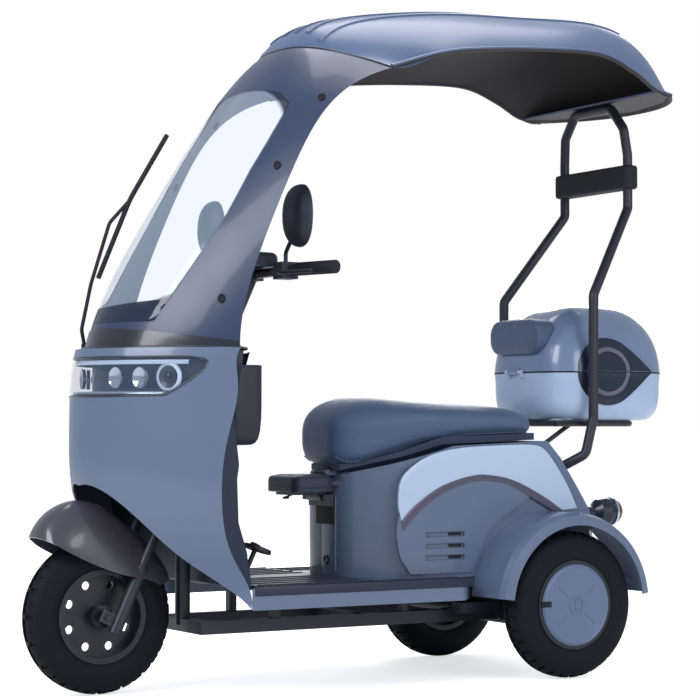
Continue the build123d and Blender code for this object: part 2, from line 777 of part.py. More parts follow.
def spun(section, centre):
    """Solid of revolution about the wheel's axle from (radius, x) points."""
    with BuildPart() as form:
        with BuildSketch(Plane(origin=centre, x_dir=(0, 0, 1), z_dir=(0, 1, 0))):
            with BuildLine():
                Polyline(*section, close=True)
            make_face()
        revolve(axis=Axis(centre, (1, 0, 0)))
    return form.part


wheel_places = (
    ("front", (0, front_axle_y, wheel_radius), 1, axle_radius),
    ("rear_left", (wheel_x, rear_axle_y, wheel_radius), 1, axle_radius + 2),
    ("rear_right", (-wheel_x, rear_axle_y, wheel_radius), -1, axle_radius + 2),
)
for name, centre, side, shaft in wheel_places:
    with BuildPart() as tyre:
        add(spun(tyre_section, centre))
    tyre.part.label = f"{name}_tyre"
    export_step(tyre.part, f"parts/{name}_tyre.step")

    with BuildPart() as rim:
        add(spun(rim_section, centre))
        add(spun([(20, 4 * side), (97, 4 * side), (97, -4 * side), (20, -4 * side)], centre))
        hub_end = 34 if name == "front" else 20
        add(spun([(shaft + bearing_gap, hub_end * side), (hub_radius, hub_end * side),
                  (hub_radius, -30 * side), (shaft + bearing_gap, -30 * side)], centre))
        for step in range(8):
            turn = math.radians(45 * step + 22.5)
            hole = (centre[0], centre[1] + 76 * math.sin(turn), centre[2] + 76 * math.cos(turn))
            add(strut((hole[0] - 20, hole[1], hole[2]), (hole[0] + 20, hole[1], hole[2]), 10),
                mode=Mode.SUBTRACT)
    rim.part.label = f"{name}_rim"
    export_step(rim.part, f"parts/{name}_rim.step")

for name, centre, side in (("left", wheel_places[1][1], 1), ("right", wheel_places[2][1], -1)):
    with BuildPart() as hub_cap:
        add(spun([(0, 35 * side), (60, 34.8 * side), (100, 34.8 * side), (100, 37 * side),
                  (92, 41 * side), (0, 41 * side)], centre))
    hub_cap.part.label = f"hub_cap_{name}"
    export_step(hub_cap.part, f"parts/hub_cap_{name}.step")

# ---------------------------------------------------------------- steering
axle_along = -fork_offset * math.tan(rake)
crown_along = 246
stem_top = (bar_z - 12 - wheel_radius) / steer_up[2]
with BuildPart() as fork:
    add(strut(on_steer(crown_along), on_steer(stem_top), stem_radius))
    with BuildSketch(steer_plane(crown_along)):
        RectangleRounded(2 * leg_spacing + 40, 46, 12)
    extrude(amount=18)
    for side in (-1, 1):
        add(strut(on_steer(60, 0, side * leg_spacing), on_steer(crown_along + 10, 0, side * leg_spacing),
                  stanchion_radius))
        add(strut(on_steer(-40, 0, side * leg_spacing), on_steer(125, 0, side * leg_spacing),
                  slider_radius))
        with BuildSketch(steer_plane(axle_along - 15, 18, side * (leg_spacing - 5))):
            RectangleRounded(14, 56, 5)
        extrude(amount=30)
    add(strut((-leg_spacing - 8, front_axle_y, wheel_radius), (leg_spacing + 8, front_axle_y, wheel_radius),
              axle_radius))
fork.part.label = "fork"
export_step(fork.part, "parts/fork.step")

# Stations from the tail over the crown to the nose, as for the roof
front_fender_stations = [
    ((-585, 250), (-533, 262), 78, 2.8),
    ((-602, 260), (-562, 318), 79, 2.8),
    ((-640, 270), (-622, 378), 79, 2.8),
    ((-690, 282), (-690, 428), 79, 2.8),
    ((-740, 300), (-752, 448), 79, 2.8),
    ((-785, 320), (-808, 436), 79, 2.8),
    ((-820, 338), (-848, 405), 77, 2.6),
    ((-838, 350), (-869, 366), 72, 2.4),
]
with BuildPart() as front_fender:
    add(arch_shell(front_fender_stations, 0, skin))
    for side in (-1, 1):
        add(strut(on_steer(60, 0, side * leg_spacing), on_steer(crown_along, 0, side * leg_spacing),
                  stanchion_radius + seat_gap), mode=Mode.SUBTRACT)
        add(strut(on_steer(-60, 0, side * leg_spacing), on_steer(126, 0, side * leg_spacing),
                  slider_radius + seat_gap), mode=Mode.SUBTRACT)
front_fender.part.label = "front_fender"
export_step(front_fender.part, "parts/front_fender.step")

bar_y = on_steer(stem_top)[1]
bar_points = [
    (-302, -248, bar_z + 4), (-170, -286, bar_z + 4), (-60, bar_y, bar_z), (60, bar_y, bar_z),
    (170, -286, bar_z + 4), (302, -248, bar_z + 4),
]
bar_radius = 11
with BuildPart() as handlebar:
    add(round_bar(bar_path(bar_points, 40), bar_radius))
    with Locations((0, bar_y, bar_z)):
        Box(56, 40, 30)
    add(strut(on_steer(stem_top - 60), on_steer(stem_top + 5), stem_radius), mode=Mode.SUBTRACT)
handlebar.part.label = "handlebar"
export_step(handlebar.part, "parts/handlebar.step")

grip_axis = Vector(132, 38, 0).normalized()
grip_end = Vector(308, -246.3, bar_z + 4)
grip_start = grip_end - grip_axis * 122
with BuildPart() as grips:
    for side in (-1, 1):
        add(strut((side * grip_start.X, grip_start.Y, grip_start.Z),
                  (side * grip_end.X, grip_end.Y, grip_end.Z), 16))
    add(round_bar(bar_path(bar_points, 40), bar_radius + seat_gap), mode=Mode.SUBTRACT)
grips.part.label = "grips"
export_step(grips.part, "parts/grips.step")

with BuildPart() as instrument_cowl:
    with BuildSketch(Plane.XY.offset(bar_z + 15.2)):
        with Locations((0, bar_y - 22)):
            RectangleRounded(220, 96, 30)
    extrude(amount=34)
    fillet(instrument_cowl.faces().sort_by(Axis.Z)[-1].edges(), 14)
instrument_cowl.part.label = "instrument_cowl"
export_step(instrument_cowl.part, "parts/instrument_cowl.step")

with BuildPart() as bar_controls:
    for side in (-1, 1):
        with Locations((side * 150, -292, bar_z + 2)):
            Box(44, 44, 40)
        add(round_bar(bar_path([(side * 150, -312, bar_z - 4), (side * 200, -330, bar_z - 6),
                                (side * 290, -300, bar_z - 6)], 20), 5))
    add(round_bar(bar_path(bar_points, 40), bar_radius + seat_gap), mode=Mode.SUBTRACT)
bar_controls.part.label = "bar_controls"
export_step(bar_controls.part, "parts/bar_controls.step")

mirror_y = -300


def mirror_oval(side, ahead, half_across, half_up):
    """Outline of a mirror head, a distance ahead of its middle."""
    centre = (side * 222, mirror_y - ahead, 1112)
    return oval_wire(centre, (1, 0, 0), (0, 0, 1), half_across, half_up, 2.3)


with BuildPart() as mirrors:
    for side in (-1, 1):
        add(round_bar(bar_path([(side * 158, -296, bar_z + 22.2), (side * 158, -296, bar_z + 44),
                                (side * 208, -304, 1066)], 12), 5))
        add(Solid.make_loft([mirror_oval(side, 26, 20, 26), mirror_oval(side, 20, 38, 50),
                             mirror_oval(side, 6, 52, 69), mirror_oval(side, -10, 56, 74)]))
mirrors.part.label = "mirrors"
export_step(mirrors.part, "parts/mirrors.step")

with BuildPart() as mirror_glasses:
    for side in (-1, 1):
        add(Solid.make_loft([mirror_oval(side, -10.2, 51, 69), mirror_oval(side, -12.2, 51, 69)]))
mirror_glasses.part.label = "mirror_glasses"
export_step(mirror_glasses.part, "parts/mirror_glasses.step")
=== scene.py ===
import math

import bpy
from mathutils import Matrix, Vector


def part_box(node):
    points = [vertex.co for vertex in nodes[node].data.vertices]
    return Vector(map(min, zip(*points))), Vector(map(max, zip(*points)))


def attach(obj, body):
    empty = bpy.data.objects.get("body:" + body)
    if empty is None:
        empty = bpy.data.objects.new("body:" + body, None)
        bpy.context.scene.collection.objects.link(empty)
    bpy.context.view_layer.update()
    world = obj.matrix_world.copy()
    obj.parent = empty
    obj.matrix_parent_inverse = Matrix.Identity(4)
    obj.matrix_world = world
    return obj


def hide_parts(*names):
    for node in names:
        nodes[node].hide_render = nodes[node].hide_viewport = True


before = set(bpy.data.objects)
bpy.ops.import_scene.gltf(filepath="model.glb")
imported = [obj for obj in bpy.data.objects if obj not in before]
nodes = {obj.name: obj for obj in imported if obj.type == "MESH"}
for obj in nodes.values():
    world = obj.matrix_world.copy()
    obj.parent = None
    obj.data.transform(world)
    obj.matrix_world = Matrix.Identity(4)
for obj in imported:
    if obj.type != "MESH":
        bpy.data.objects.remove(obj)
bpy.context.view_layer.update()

scene = bpy.context.scene
MM = 0.001

# Places and sizes that pieces share, in mm; they follow the CAD.
wheel_radius = 180
front_wheel_y = -708
rear_wheel_x, rear_wheel_y = 291, 425
belt_z = 798
shield_half_width = 304.6
# Height and y of the shield's front face, at its sides and down its middle.
shield_foot = [(610, -520), (720, -500), (798, -492)]
shield_crown = [(610, -762), (720, -761), (798, -748)]
mat_top_z = 255.4
box_middle_y, box_split_z = 675, 760
box_half_width, box_half_length = 180, 197
box_squareness = 3.4
tail_lamp_x, tail_lamp_z = 178, 400
origin = (0, 0, 0)


# ---------------------------------------------------------------- camera, light and floor
# A long lens, low down, off the vehicle's front left.
camera_data = bpy.data.cameras.new("camera")
camera_data.lens = 110.4
camera_data.sensor_width = 36
camera = bpy.data.objects.new("camera", camera_data)
camera.location = (4.594, -2.753, 0.621)
camera.rotation_euler = (math.radians(92.01), 0, math.radians(59.30))
scene.collection.objects.link(camera)
scene.camera = camera
scene.view_settings.view_transform = "Standard"


def linear(hex_colour):
    """Linear RGBA of an sRGB hex colour."""
    shares = [int(hex_colour[k:k + 2], 16) / 255 for k in (1, 3, 5)]
    return (*[c / 12.92 if c <= 0.04045 else ((c + 0.055) / 1.055) ** 2.4 for c in shares], 1)


def add_node(tree, kind, settings=None, **inputs):
    """Adds a node. An input goes by label, or by number after a _, and is a value or a socket to link."""
    node = tree.nodes.new(kind)
    for name, value in (settings or {}).items():
        setattr(node, name, value)
    for name, value in inputs.items():
        socket = node.inputs[int(name[1:])] if name[0] == "_" else node.inputs[name.replace("_", " ")]
        if isinstance(value, bpy.types.NodeSocket):
            tree.links.new(value, socket)
        else:
            socket.default_value = value
    return node


def empty_tree(name):
    """A new material with nothing in its tree."""
    material = bpy.data.materials.new(name)
    material.use_nodes = True
    material.node_tree.nodes.clear()
    return material, material.node_tree


def area_light(name, place, target, size, power, colour):
    """Soft square lamp aimed at a point; places and size in metres."""
    lamp = bpy.data.lights.new(name, "AREA")
    lamp.size = size
    lamp.energy = power
    lamp.color = linear(colour)[:3]
    holder = bpy.data.objects.new(name, lamp)
    holder.location = place
    aim = Vector(target) - Vector(place)
    holder.rotation_euler = aim.to_track_quat("-Z", "Y").to_euler()
    scene.collection.objects.link(holder)


area_light("key_light", (1.6, -4.6, 3.6), (0, 0, 0.7), 2.6, 150, "#F4F8FF")
area_light("side_light", (5.2, 1.0, 2.2), (0, 0, 0.7), 2.4, 75, "#F4F8FF")
area_light("top_light", (-0.8, 0.6, 4.4), (0, 0, 0.8), 2.6, 85, "#FFFFFF")
area_light("back_light", (-4.0, 3.2, 2.6), (0, 0, 0.8), 2.4, 90, "#FFFFFF")

world = bpy.data.worlds.new("studio")
world.use_nodes = True
world.node_tree.nodes.clear()
scene.world = world
air = world.node_tree
sight = add_node(air, "ShaderNodeLightPath")
seen = add_node(air, "ShaderNodeMath", {"operation": "MAXIMUM"}, _0=sight.outputs["Is Camera Ray"],
                _1=sight.outputs["Is Transmission Ray"])
pale = add_node(air, "ShaderNodeBackground", Color=linear("#FFFFFF"), Strength=1.0)
dim = add_node(air, "ShaderNodeBackground", Color=linear("#E6EDF8"), Strength=0.55)
both = add_node(air, "ShaderNodeMixShader", _0=seen.outputs[0], _1=dim.outputs[0], _2=pale.outputs[0])
add_node(air, "ShaderNodeOutputWorld", Surface=both.outputs[0])

# Painted studio floor: the camera sees it white, but for the soft shadow under the tyres.
floor_paint, tree = empty_tree("matt_studio_floor_paint")
matt = add_node(tree, "ShaderNodeBsdfDiffuse", Color=linear("#F2F2F2"))
lift = add_node(tree, "ShaderNodeEmission", Color=linear("#FFFFFF"), Strength=0.64)
path = add_node(tree, "ShaderNodeLightPath")
dark = add_node(tree, "ShaderNodeEmission", Color=linear("#000000"), Strength=0.0)
glow = add_node(tree, "ShaderNodeMixShader", _0=path.outputs["Is Camera Ray"], _1=dark.outputs[0],
                _2=lift.outputs[0])
total = add_node(tree, "ShaderNodeAddShader", _0=matt.outputs[0], _1=glow.outputs[0])
add_node(tree, "ShaderNodeOutputMaterial", Surface=total.outputs[0])
bpy.ops.mesh.primitive_plane_add(size=400, location=(0, 0, -0.001))
floor = bpy.context.object
floor.name = "studio_floor"
floor.data.materials.append(floor_paint)


# ---------------------------------------------------------------- finishes
def gloss_paint(name, colour, shade, roughness=0.30, coat=0.5):
    """Sprayed and lacquered ABS: two close tones, a fine orange peel and a clear coat."""
    material, tree = empty_tree(name)
    where = add_node(tree, "ShaderNodeTexCoord").outputs["Object"]
    cloud = add_node(tree, "ShaderNodeTexNoise", Vector=where, Scale=2.2, Detail=2.0)
    tone = add_node(tree, "ShaderNodeMix", {"data_type": "RGBA"}, _0=cloud.outputs["Fac"],
                    _6=linear(colour), _7=linear(shade))
    # Orange peel is 1 to 2 mm across; 2.5 mm here, as coarse as it needs to show.
    peel = add_node(tree, "ShaderNodeTexNoise", Vector=where, Scale=400.0, Detail=1.0)
    bump = add_node(tree, "ShaderNodeBump", Strength=0.05, Distance=0.0004, Height=peel.outputs["Fac"])
    rub = add_node(tree, "ShaderNodeTexNoise", Vector=where, Scale=14.0, Detail=4.0)
    gloss = add_node(tree, "ShaderNodeMapRange", Value=rub.outputs["Fac"], To_Min=roughness - 0.05,
                     To_Max=roughness + 0.07)
    shader = add_node(tree, "ShaderNodeBsdfPrincipled", Base_Color=tone.outputs[2],
                      Roughness=gloss.outputs["Result"], Normal=bump.outputs["Normal"], IOR=1.5,
                      Coat_Weight=coat, Coat_Roughness=0.08)
    add_node(tree, "ShaderNodeOutputMaterial", Surface=shader.outputs["BSDF"])
    return material


def moulded_plastic(name, colour, shade, grain_mm=1.5, depth_mm=0.12, roughness=0.5, shine=0.5):
    """Injection moulded plastic with an etched leather-like grain from the mould."""
    material, tree = empty_tree(name)
    where = add_node(tree, "ShaderNodeTexCoord").outputs["Object"]
    cloud = add_node(tree, "ShaderNodeTexNoise", Vector=where, Scale=6.0, Detail=3.0)
    tone = add_node(tree, "ShaderNodeMix", {"data_type": "RGBA"}, _0=cloud.outputs["Fac"],
                    _6=linear(colour), _7=linear(shade))
    grain = add_node(tree, "ShaderNodeTexVoronoi", {"feature": "SMOOTH_F1"}, Vector=where,
                     Scale=1000 / grain_mm)
    bump = add_node(tree, "ShaderNodeBump", Strength=0.5, Distance=depth_mm * MM,
                    Height=grain.outputs["Distance"])
    gloss = add_node(tree, "ShaderNodeMapRange", Value=cloud.outputs["Fac"], To_Min=roughness - 0.06,
                     To_Max=roughness + 0.08)
    shader = add_node(tree, "ShaderNodeBsdfPrincipled", Base_Color=tone.outputs[2],
                      Roughness=gloss.outputs["Result"], Normal=bump.outputs["Normal"], IOR=1.49,
                      Specular_IOR_Level=shine)
    add_node(tree, "ShaderNodeOutputMaterial", Surface=shader.outputs["BSDF"])
    return material


def faux_leather(name, colour, shade):
    """Embossed PVC seat cover: pebbled grain, soft sheen, darker in the pores."""
    material, tree = empty_tree(name)
    where = add_node(tree, "ShaderNodeTexCoord").outputs["Object"]
    # Pebbles are 1.2 mm across; 2.4 mm here, as coarse as they need to show.
    pebble = add_node(tree, "ShaderNodeTexVoronoi", {"feature": "DISTANCE_TO_EDGE"}, Vector=where,
                      Scale=420.0)
    pore = add_node(tree, "ShaderNodeMapRange", Value=pebble.outputs["Distance"], From_Max=0.18)
    wear = add_node(tree, "ShaderNodeTexNoise", Vector=where, Scale=9.0, Detail=5.0)
    base = add_node(tree, "ShaderNodeMix", {"data_type": "RGBA"}, _0=wear.outputs["Fac"],
                    _6=linear(colour), _7=linear(shade))
    tone = add_node(tree, "ShaderNodeMix", {"data_type": "RGBA"}, _0=pore.outputs["Result"],
                    _6=linear(shade), _7=base.outputs[2])
    bump = add_node(tree, "ShaderNodeBump", Strength=0.45, Distance=0.0003,
                    Height=pore.outputs["Result"])
    gloss = add_node(tree, "ShaderNodeMapRange", Value=wear.outputs["Fac"], To_Min=0.40, To_Max=0.54)
    shader = add_node(tree, "ShaderNodeBsdfPrincipled", Base_Color=tone.outputs[2],
                      Roughness=gloss.outputs["Result"], Normal=bump.outputs["Normal"], IOR=1.5,
                      Sheen_Weight=0.15, Sheen_Roughness=0.4)
    add_node(tree, "ShaderNodeOutputMaterial", Surface=shader.outputs["BSDF"])
    return material


def coated_metal(name, colour, shade, metallic=0.0, roughness=0.38, grain_mm=1.2):
    """Powder-coated or cast metal: a fine pitted skin with an even, low shine."""
    material, tree = empty_tree(name)
    where = add_node(tree, "ShaderNodeTexCoord").outputs["Object"]
    pits = add_node(tree, "ShaderNodeTexNoise", Vector=where, Scale=1000 / grain_mm, Detail=2.0)
    dust = add_node(tree, "ShaderNodeTexNoise", Vector=where, Scale=11.0, Detail=5.0)
    tone = add_node(tree, "ShaderNodeMix", {"data_type": "RGBA"}, _0=dust.outputs["Fac"],
                    _6=linear(colour), _7=linear(shade))
    bump = add_node(tree, "ShaderNodeBump", Strength=0.2, Distance=0.0003, Height=pits.outputs["Fac"])
    gloss = add_node(tree, "ShaderNodeMapRange", Value=dust.outputs["Fac"], To_Min=roughness - 0.07,
                     To_Max=roughness + 0.1)
    shader = add_node(tree, "ShaderNodeBsdfPrincipled", Base_Color=tone.outputs[2],
                      Metallic=metallic, Roughness=gloss.outputs["Result"],
                      Normal=bump.outputs["Normal"])
    add_node(tree, "ShaderNodeOutputMaterial", Surface=shader.outputs["BSDF"])
    return material


def clear_sheet(name, colour, roughness, tint_alpha):
    """Clear polycarbonate: see-through with a cool tint and faint wipe marks."""
    material, tree = empty_tree(name)
    where = add_node(tree, "ShaderNodeTexCoord").outputs["Object"]
    smear = add_node(tree, "ShaderNodeTexNoise", Vector=where, Scale=5.0, Detail=3.0)
    gloss = add_node(tree, "ShaderNodeMapRange", Value=smear.outputs["Fac"], To_Min=roughness,
                     To_Max=roughness + 0.03)
    shader = add_node(tree, "ShaderNodeBsdfPrincipled", Base_Color=linear(colour),
                      Roughness=gloss.outputs["Result"], IOR=1.58, Alpha=tint_alpha)
    add_node(tree, "ShaderNodeOutputMaterial", Surface=shader.outputs["BSDF"])
    return material


def printed_screen(name, colour, border, roughness, tint_alpha, reach):
    """Clear sheet with a dark border printed round a rounded clear field; reach is in metres."""
    material, tree = empty_tree(name)
    where = add_node(tree, "ShaderNodeTexCoord").outputs["Object"]
    part = add_node(tree, "ShaderNodeSeparateXYZ", Vector=where)
    powers = []
    for axis, middle, half in reach:
        offset = add_node(tree, "ShaderNodeMath", {"operation": "SUBTRACT"}, _0=part.outputs[axis], _1=middle)
        size = add_node(tree, "ShaderNodeMath", {"operation": "ABSOLUTE"}, _0=offset.outputs[0])
        share = add_node(tree, "ShaderNodeMath", {"operation": "DIVIDE"}, _0=size.outputs[0], _1=half)
        powers.append(add_node(tree, "ShaderNodeMath", {"operation": "POWER"}, _0=share.outputs[0], _1=2.5))
    total = add_node(tree, "ShaderNodeMath", {"operation": "ADD"}, _0=powers[0].outputs[0],
                     _1=powers[1].outputs[0])
    # The print fades out in fine dots over a few millimetres.
    edge = add_node(tree, "ShaderNodeMapRange", Value=total.outputs[0], From_Min=0.97, From_Max=1.05)
    tone = add_node(tree, "ShaderNodeMix", {"data_type": "RGBA"}, _0=edge.outputs["Result"],
                    _6=linear(colour), _7=linear(border))
    alpha = add_node(tree, "ShaderNodeMapRange", Value=edge.outputs["Result"], To_Min=tint_alpha, To_Max=0.8)
    smear = add_node(tree, "ShaderNodeTexNoise", Vector=where, Scale=5.0, Detail=3.0)
    gloss = add_node(tree, "ShaderNodeMapRange", Value=smear.outputs["Fac"], To_Min=roughness,
                     To_Max=roughness + 0.03)
    shader = add_node(tree, "ShaderNodeBsdfPrincipled", Base_Color=tone.outputs[2],
                      Roughness=gloss.outputs["Result"], IOR=1.58, Alpha=alpha.outputs["Result"])
    add_node(tree, "ShaderNodeOutputMaterial", Surface=shader.outputs["BSDF"])
    return material


def sheet_shaded_below(name, colour, shade, underside_shade):
    """Formed ABS, lacquered outside, with a painted shade on the faces that look down; the skin's own normal
    tells the two apart.
    """
    material, tree = empty_tree(name)
    where = add_node(tree, "ShaderNodeTexCoord").outputs["Object"]
    facing = add_node(tree, "ShaderNodeNewGeometry").outputs["True Normal"]
    upward = add_node(tree, "ShaderNodeSeparateXYZ", Vector=facing)
    below = add_node(tree, "ShaderNodeMapRange", Value=upward.outputs["Z"], From_Min=-0.12, From_Max=-0.05,
                     To_Min=1.0, To_Max=0.0)
    cloud = add_node(tree, "ShaderNodeTexNoise", Vector=where, Scale=2.0, Detail=2.0)
    outside = add_node(tree, "ShaderNodeMix", {"data_type": "RGBA"}, _0=cloud.outputs["Fac"],
                       _6=linear(colour), _7=linear(shade))
    tone = add_node(tree, "ShaderNodeMix", {"data_type": "RGBA"}, _0=below.outputs["Result"],
                    _6=outside.outputs[2], _7=linear(underside_shade))
    peel = add_node(tree, "ShaderNodeTexNoise", Vector=where, Scale=400.0, Detail=1.0)
    bump = add_node(tree, "ShaderNodeBump", Strength=0.06, Distance=0.0005, Height=peel.outputs["Fac"])
    gloss = add_node(tree, "ShaderNodeMapRange", Value=below.outputs["Result"], To_Min=0.34, To_Max=0.6)
    shader = add_node(tree, "ShaderNodeBsdfPrincipled", Base_Color=tone.outputs[2],
                      Roughness=gloss.outputs["Result"], Normal=bump.outputs["Normal"], IOR=1.5,
                      Coat_Weight=0.12, Coat_Roughness=0.2)
    add_node(tree, "ShaderNodeOutputMaterial", Surface=shader.outputs["BSDF"])
    return material


# Lacquered ABS panels of the body: an even blue-grey with a deep soft gloss.
body_paint = gloss_paint("lacquered_abs_blue_grey", "#63738C", "#5C6C85")
# Lacquered ABS of the windscreen's surround: slate blue.
shell_paint = gloss_paint("lacquered_abs_slate_blue", "#2A3C5C", "#243450", 0.34, 0.3)
# Lacquered ABS of the top box's case: pearl white.
white_paint = gloss_paint("lacquered_abs_pearl_white", "#B2C6E2", "#A8BCDA", 0.28, 0.5)
# Lacquered ABS of the top box's lid, a shade lighter than the body.
lid_paint = gloss_paint("lacquered_abs_light_grey", "#7689A8", "#6C7F9E", 0.24, 0.6)
# Lacquered ABS of the front mudguard: grey with a plum cast.
fender_paint = gloss_paint("lacquered_abs_plum_grey", "#474451", "#403D49", 0.26, 0.6)
# The sill strip under the windscreen: nearly black and shiny.
sill_paint = gloss_paint("lacquered_abs_black_blue", "#1C2431", "#181F2A", 0.22, 0.5)
# Vinyl stripe round the side panel.
stripe_vinyl = gloss_paint("cut_vinyl_film_plum", "#524D62", "#4B465B", 0.3, 0.3)
# Textured black-blue plastic of the inner panel, dashboard, cowl and mirrors.
dark_plastic = moulded_plastic("moulded_abs_dark_navy", "#222B3B", "#1A2230")
# The same plastic off a polished mould: smoother, with a low shine.
lamp_plastic = moulded_plastic("polished_abs_dark_navy", "#222E40", "#1B2534", 2.0, 0.02, 0.22)
# Painted shade for slots and recesses: a matt near-black moulding stands in for the shade inside them.
recess_shade_plastic = moulded_plastic("painted_recess_shade_black", "#0D1016", "#12161E", 2.0, 0.05, 0.7)
# Navy edging moulded round the leg opening.
lip_plastic = moulded_plastic("moulded_abs_navy_edging", "#1D2A40", "#172235", 2.0, 0.06, 0.36)
# Saddle pan, moulded to go with the seat cover.
pan_plastic = moulded_plastic("moulded_abs_slate_pan", "#34445E", "#2D3C54", 2.0, 0.06, 0.5)
# Grey ring of the box's round plate.
ring_plastic = gloss_paint("painted_abs_warm_grey", "#6C6A78", "#62606E", 0.36, 0.3)
# Sweep on the side panel: pearl white over the body's colour.
sweep_paint = gloss_paint("lacquered_abs_pearl_sweep", "#BED0E6", "#B4C7DE", 0.34, 0.3)
# Frosted acrylic of the lamp's rings and its upper strip: pale, with a soft shine.
halo_plastic = gloss_paint("frosted_acrylic_white", "#C3D0E4", "#BBC9DE", 0.3, 0.4)
# Embossed seat cover in slate, and the blacker one of the small pads.
saddle_cover = faux_leather("embossed_pvc_leather_slate", "#53688A", "#465A79")
pad_cover = faux_leather("embossed_pvc_leather_dark", "#2C3850", "#222C40")
back_cover = faux_leather("embossed_pvc_leather_steel_blue", "#4E627F", "#42546F")
# Powder-coated steel tube: black with a low, even shine.
black_steel = coated_metal("powder_coated_steel_black", "#20222C", "#2A2C36")
# Steel wheel disc in baked black enamel.
wheel_enamel = coated_metal("baked_enamel_black", "#171A22", "#20242E", 0.0, 0.3)
# Cast aluminium with a clear lacquer, for the hub caps: satin blue-grey.
cap_alloy = coated_metal("painted_cast_aluminium_satin", "#6C7C98", "#62728C", 0.15, 0.4, 1.6)
# Zinc-plated steel of the rear springs: bright, a little milky.
plated_steel = coated_metal("zinc_plated_steel", "#9AA3AF", "#868F9B", 0.9, 0.32, 1.0)
# Bright chrome on plastic, for the reflectors, the lamp's lower trim and the tail lamps' collars.
bright_chrome = coated_metal("vacuum_plated_chrome", "#D9E2EE", "#C9D3E1", 1.0, 0.12, 3.0)
# Moulded rubber: matt and slightly dusty.
black_rubber = moulded_plastic("moulded_rubber_black", "#12161E", "#181C25", 2.0, 0.15, 0.72)
mat_rubber = moulded_plastic("moulded_rubber_navy", "#1C283E", "#162033", 2.0, 0.12, 0.42)
# Vulcanised tyre rubber: dead black, hardly shiny.
tyre_rubber = moulded_plastic("vulcanised_rubber_tyre", "#0D1017", "#12161E", 1.6, 0.2, 0.62, 0.2)
# Formed polycarbonate: clear in the middle, with a dark print round its edge.
clear_screen = printed_screen("printed_polycarbonate_screen", "#C2D6EC", "#1C2B43", 0.03, 0.16,
                              (("X", 0.0, 0.268), ("Z", 1.155, 0.272)))
# Clear lamp cover, which hardly hides what is in the lamp.
clear_lens = clear_sheet("clear_polycarbonate_lens", "#7C90AC", 0.04, 0.12)
# Painted shade: a dark see-through sheet that stands for the shaded inside seen through the foot of the
# screen.
interior_shade_film = clear_sheet("painted_interior_shade_film", "#1B2A40", 0.05, 0.86)
# Silvered glass: a clean reflection.
silvered_glass = coated_metal("silvered_mirror_glass", "#D5DCE6", "#CDD5E0", 1.0, 0.06, 20.0)
# Red acrylic, dark when the lamp is off.
red_lens = gloss_paint("moulded_acrylic_red", "#7A1418", "#6A1014", 0.16, 0.7)
# Pressed glass over a dark hollow: nearly black, with sharp glints.
lens_glass = coated_metal("pressed_lens_glass_dark", "#141A26", "#1C2432", 0.3, 0.08, 20.0)

# The roof's skin: slate lacquer above, and a brown-black painted shade on the faces below.
roof_skin = sheet_shaded_below("lacquered_abs_roof_slate", "#566A8E", "#4E6183", "#332D2C")

node_finish = {
    black_steel: ["frame", "rear_axle", "brake_pedal", "roof_hoop", "luggage_rack", "plate_bracket",
                  "child_mount", "child_bracket", "fork", "handlebar"],
    plated_steel: ["rear_shocks"],
    body_paint: ["front_shield", "seat_base", "side_panels", "rear_fenders", "floor_board"],
    shell_paint: ["windscreen_frame"],
    roof_skin: ["roof"],
    white_paint: ["box_base"],
    lid_paint: ["box_lid"],
    fender_paint: ["front_fender"],
    dark_plastic: ["battery_box", "inner_panel", "storage_pockets", "dashboard",
                   "instrument_cowl", "bar_controls", "mirrors"],
    pan_plastic: ["seat_pan"],
    lamp_plastic: ["headlight_housing", "tail_lamps"],
    clear_lens: ["headlight_lens"],
    clear_screen: ["windscreen_glass"],
    silvered_glass: ["mirror_glasses"],
    wheel_enamel: ["front_rim", "rear_left_rim", "rear_right_rim"],
    cap_alloy: ["hub_cap_left", "hub_cap_right"],
    black_rubber: ["hoop_pad", "wiper", "grips"],
    mat_rubber: ["floor_mat"],
    tyre_rubber: ["front_tyre", "rear_left_tyre", "rear_right_tyre"],
    saddle_cover: ["seat_cushion"],
    pad_cover: ["child_pad"],
    back_cover: ["back_pad"],
}
for finish, names in node_finish.items():
    for name in names:
        nodes[name].data.materials.clear()
        nodes[name].data.materials.append(finish)
nodes["windscreen_glass"].visible_shadow = False
nodes["headlight_lens"].visible_shadow = False


# ---------------------------------------------------------------- ways of making a piece
def deselect():
    """Leaves nothing selected, in object mode."""
    if bpy.context.object and bpy.context.object.mode != "OBJECT":
        bpy.ops.object.mode_set(mode="OBJECT")
    bpy.ops.object.select_all(action="DESELECT")


def select_only(piece):
    """Makes one piece the selected and active one."""
    deselect()
    piece.select_set(True)
    bpy.context.view_layer.objects.active = piece


def named(name):
    """Names the piece that was just added."""
    piece = bpy.context.object
    piece.name = name
    piece.data.name = name
    return piece


def settle(piece, finish, body, smooth=40):
    """Applies place and modifiers, smooths, and gives the piece its finish and body."""
    select_only(piece)
    bpy.ops.object.transform_apply(location=True, rotation=True, scale=True)
    for modifier in list(piece.modifiers):
        bpy.ops.object.modifier_apply(modifier=modifier.name)
    bpy.ops.object.shade_smooth_by_angle(angle=math.radians(smooth))
    piece.data.materials.clear()
    piece.data.materials.append(finish)
    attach(piece, body)
    return piece


def outward(piece, merge_mm=0.01):
    """Merges doubles and turns every face outwards."""
    select_only(piece)
    bpy.ops.object.mode_set(mode="EDIT")
    bpy.ops.mesh.select_all(action="SELECT")
    bpy.ops.mesh.remove_doubles(threshold=merge_mm * MM)
    bpy.ops.mesh.normals_make_consistent(inside=False)
    bpy.ops.object.mode_set(mode="OBJECT")


def block(name, centre, size, round_mm, segments=3):
    """Box with rounded edges; centre and size in mm."""
    deselect()
    bpy.ops.mesh.primitive_cube_add(size=1, location=[c * MM for c in centre])
    piece = named(name)
    piece.scale = [s * MM for s in size]
    bpy.ops.object.transform_apply(location=True, rotation=True, scale=True)
    edge = piece.modifiers.new("edge", "BEVEL")
    edge.width = round_mm * MM
    edge.segments = segments
    return piece


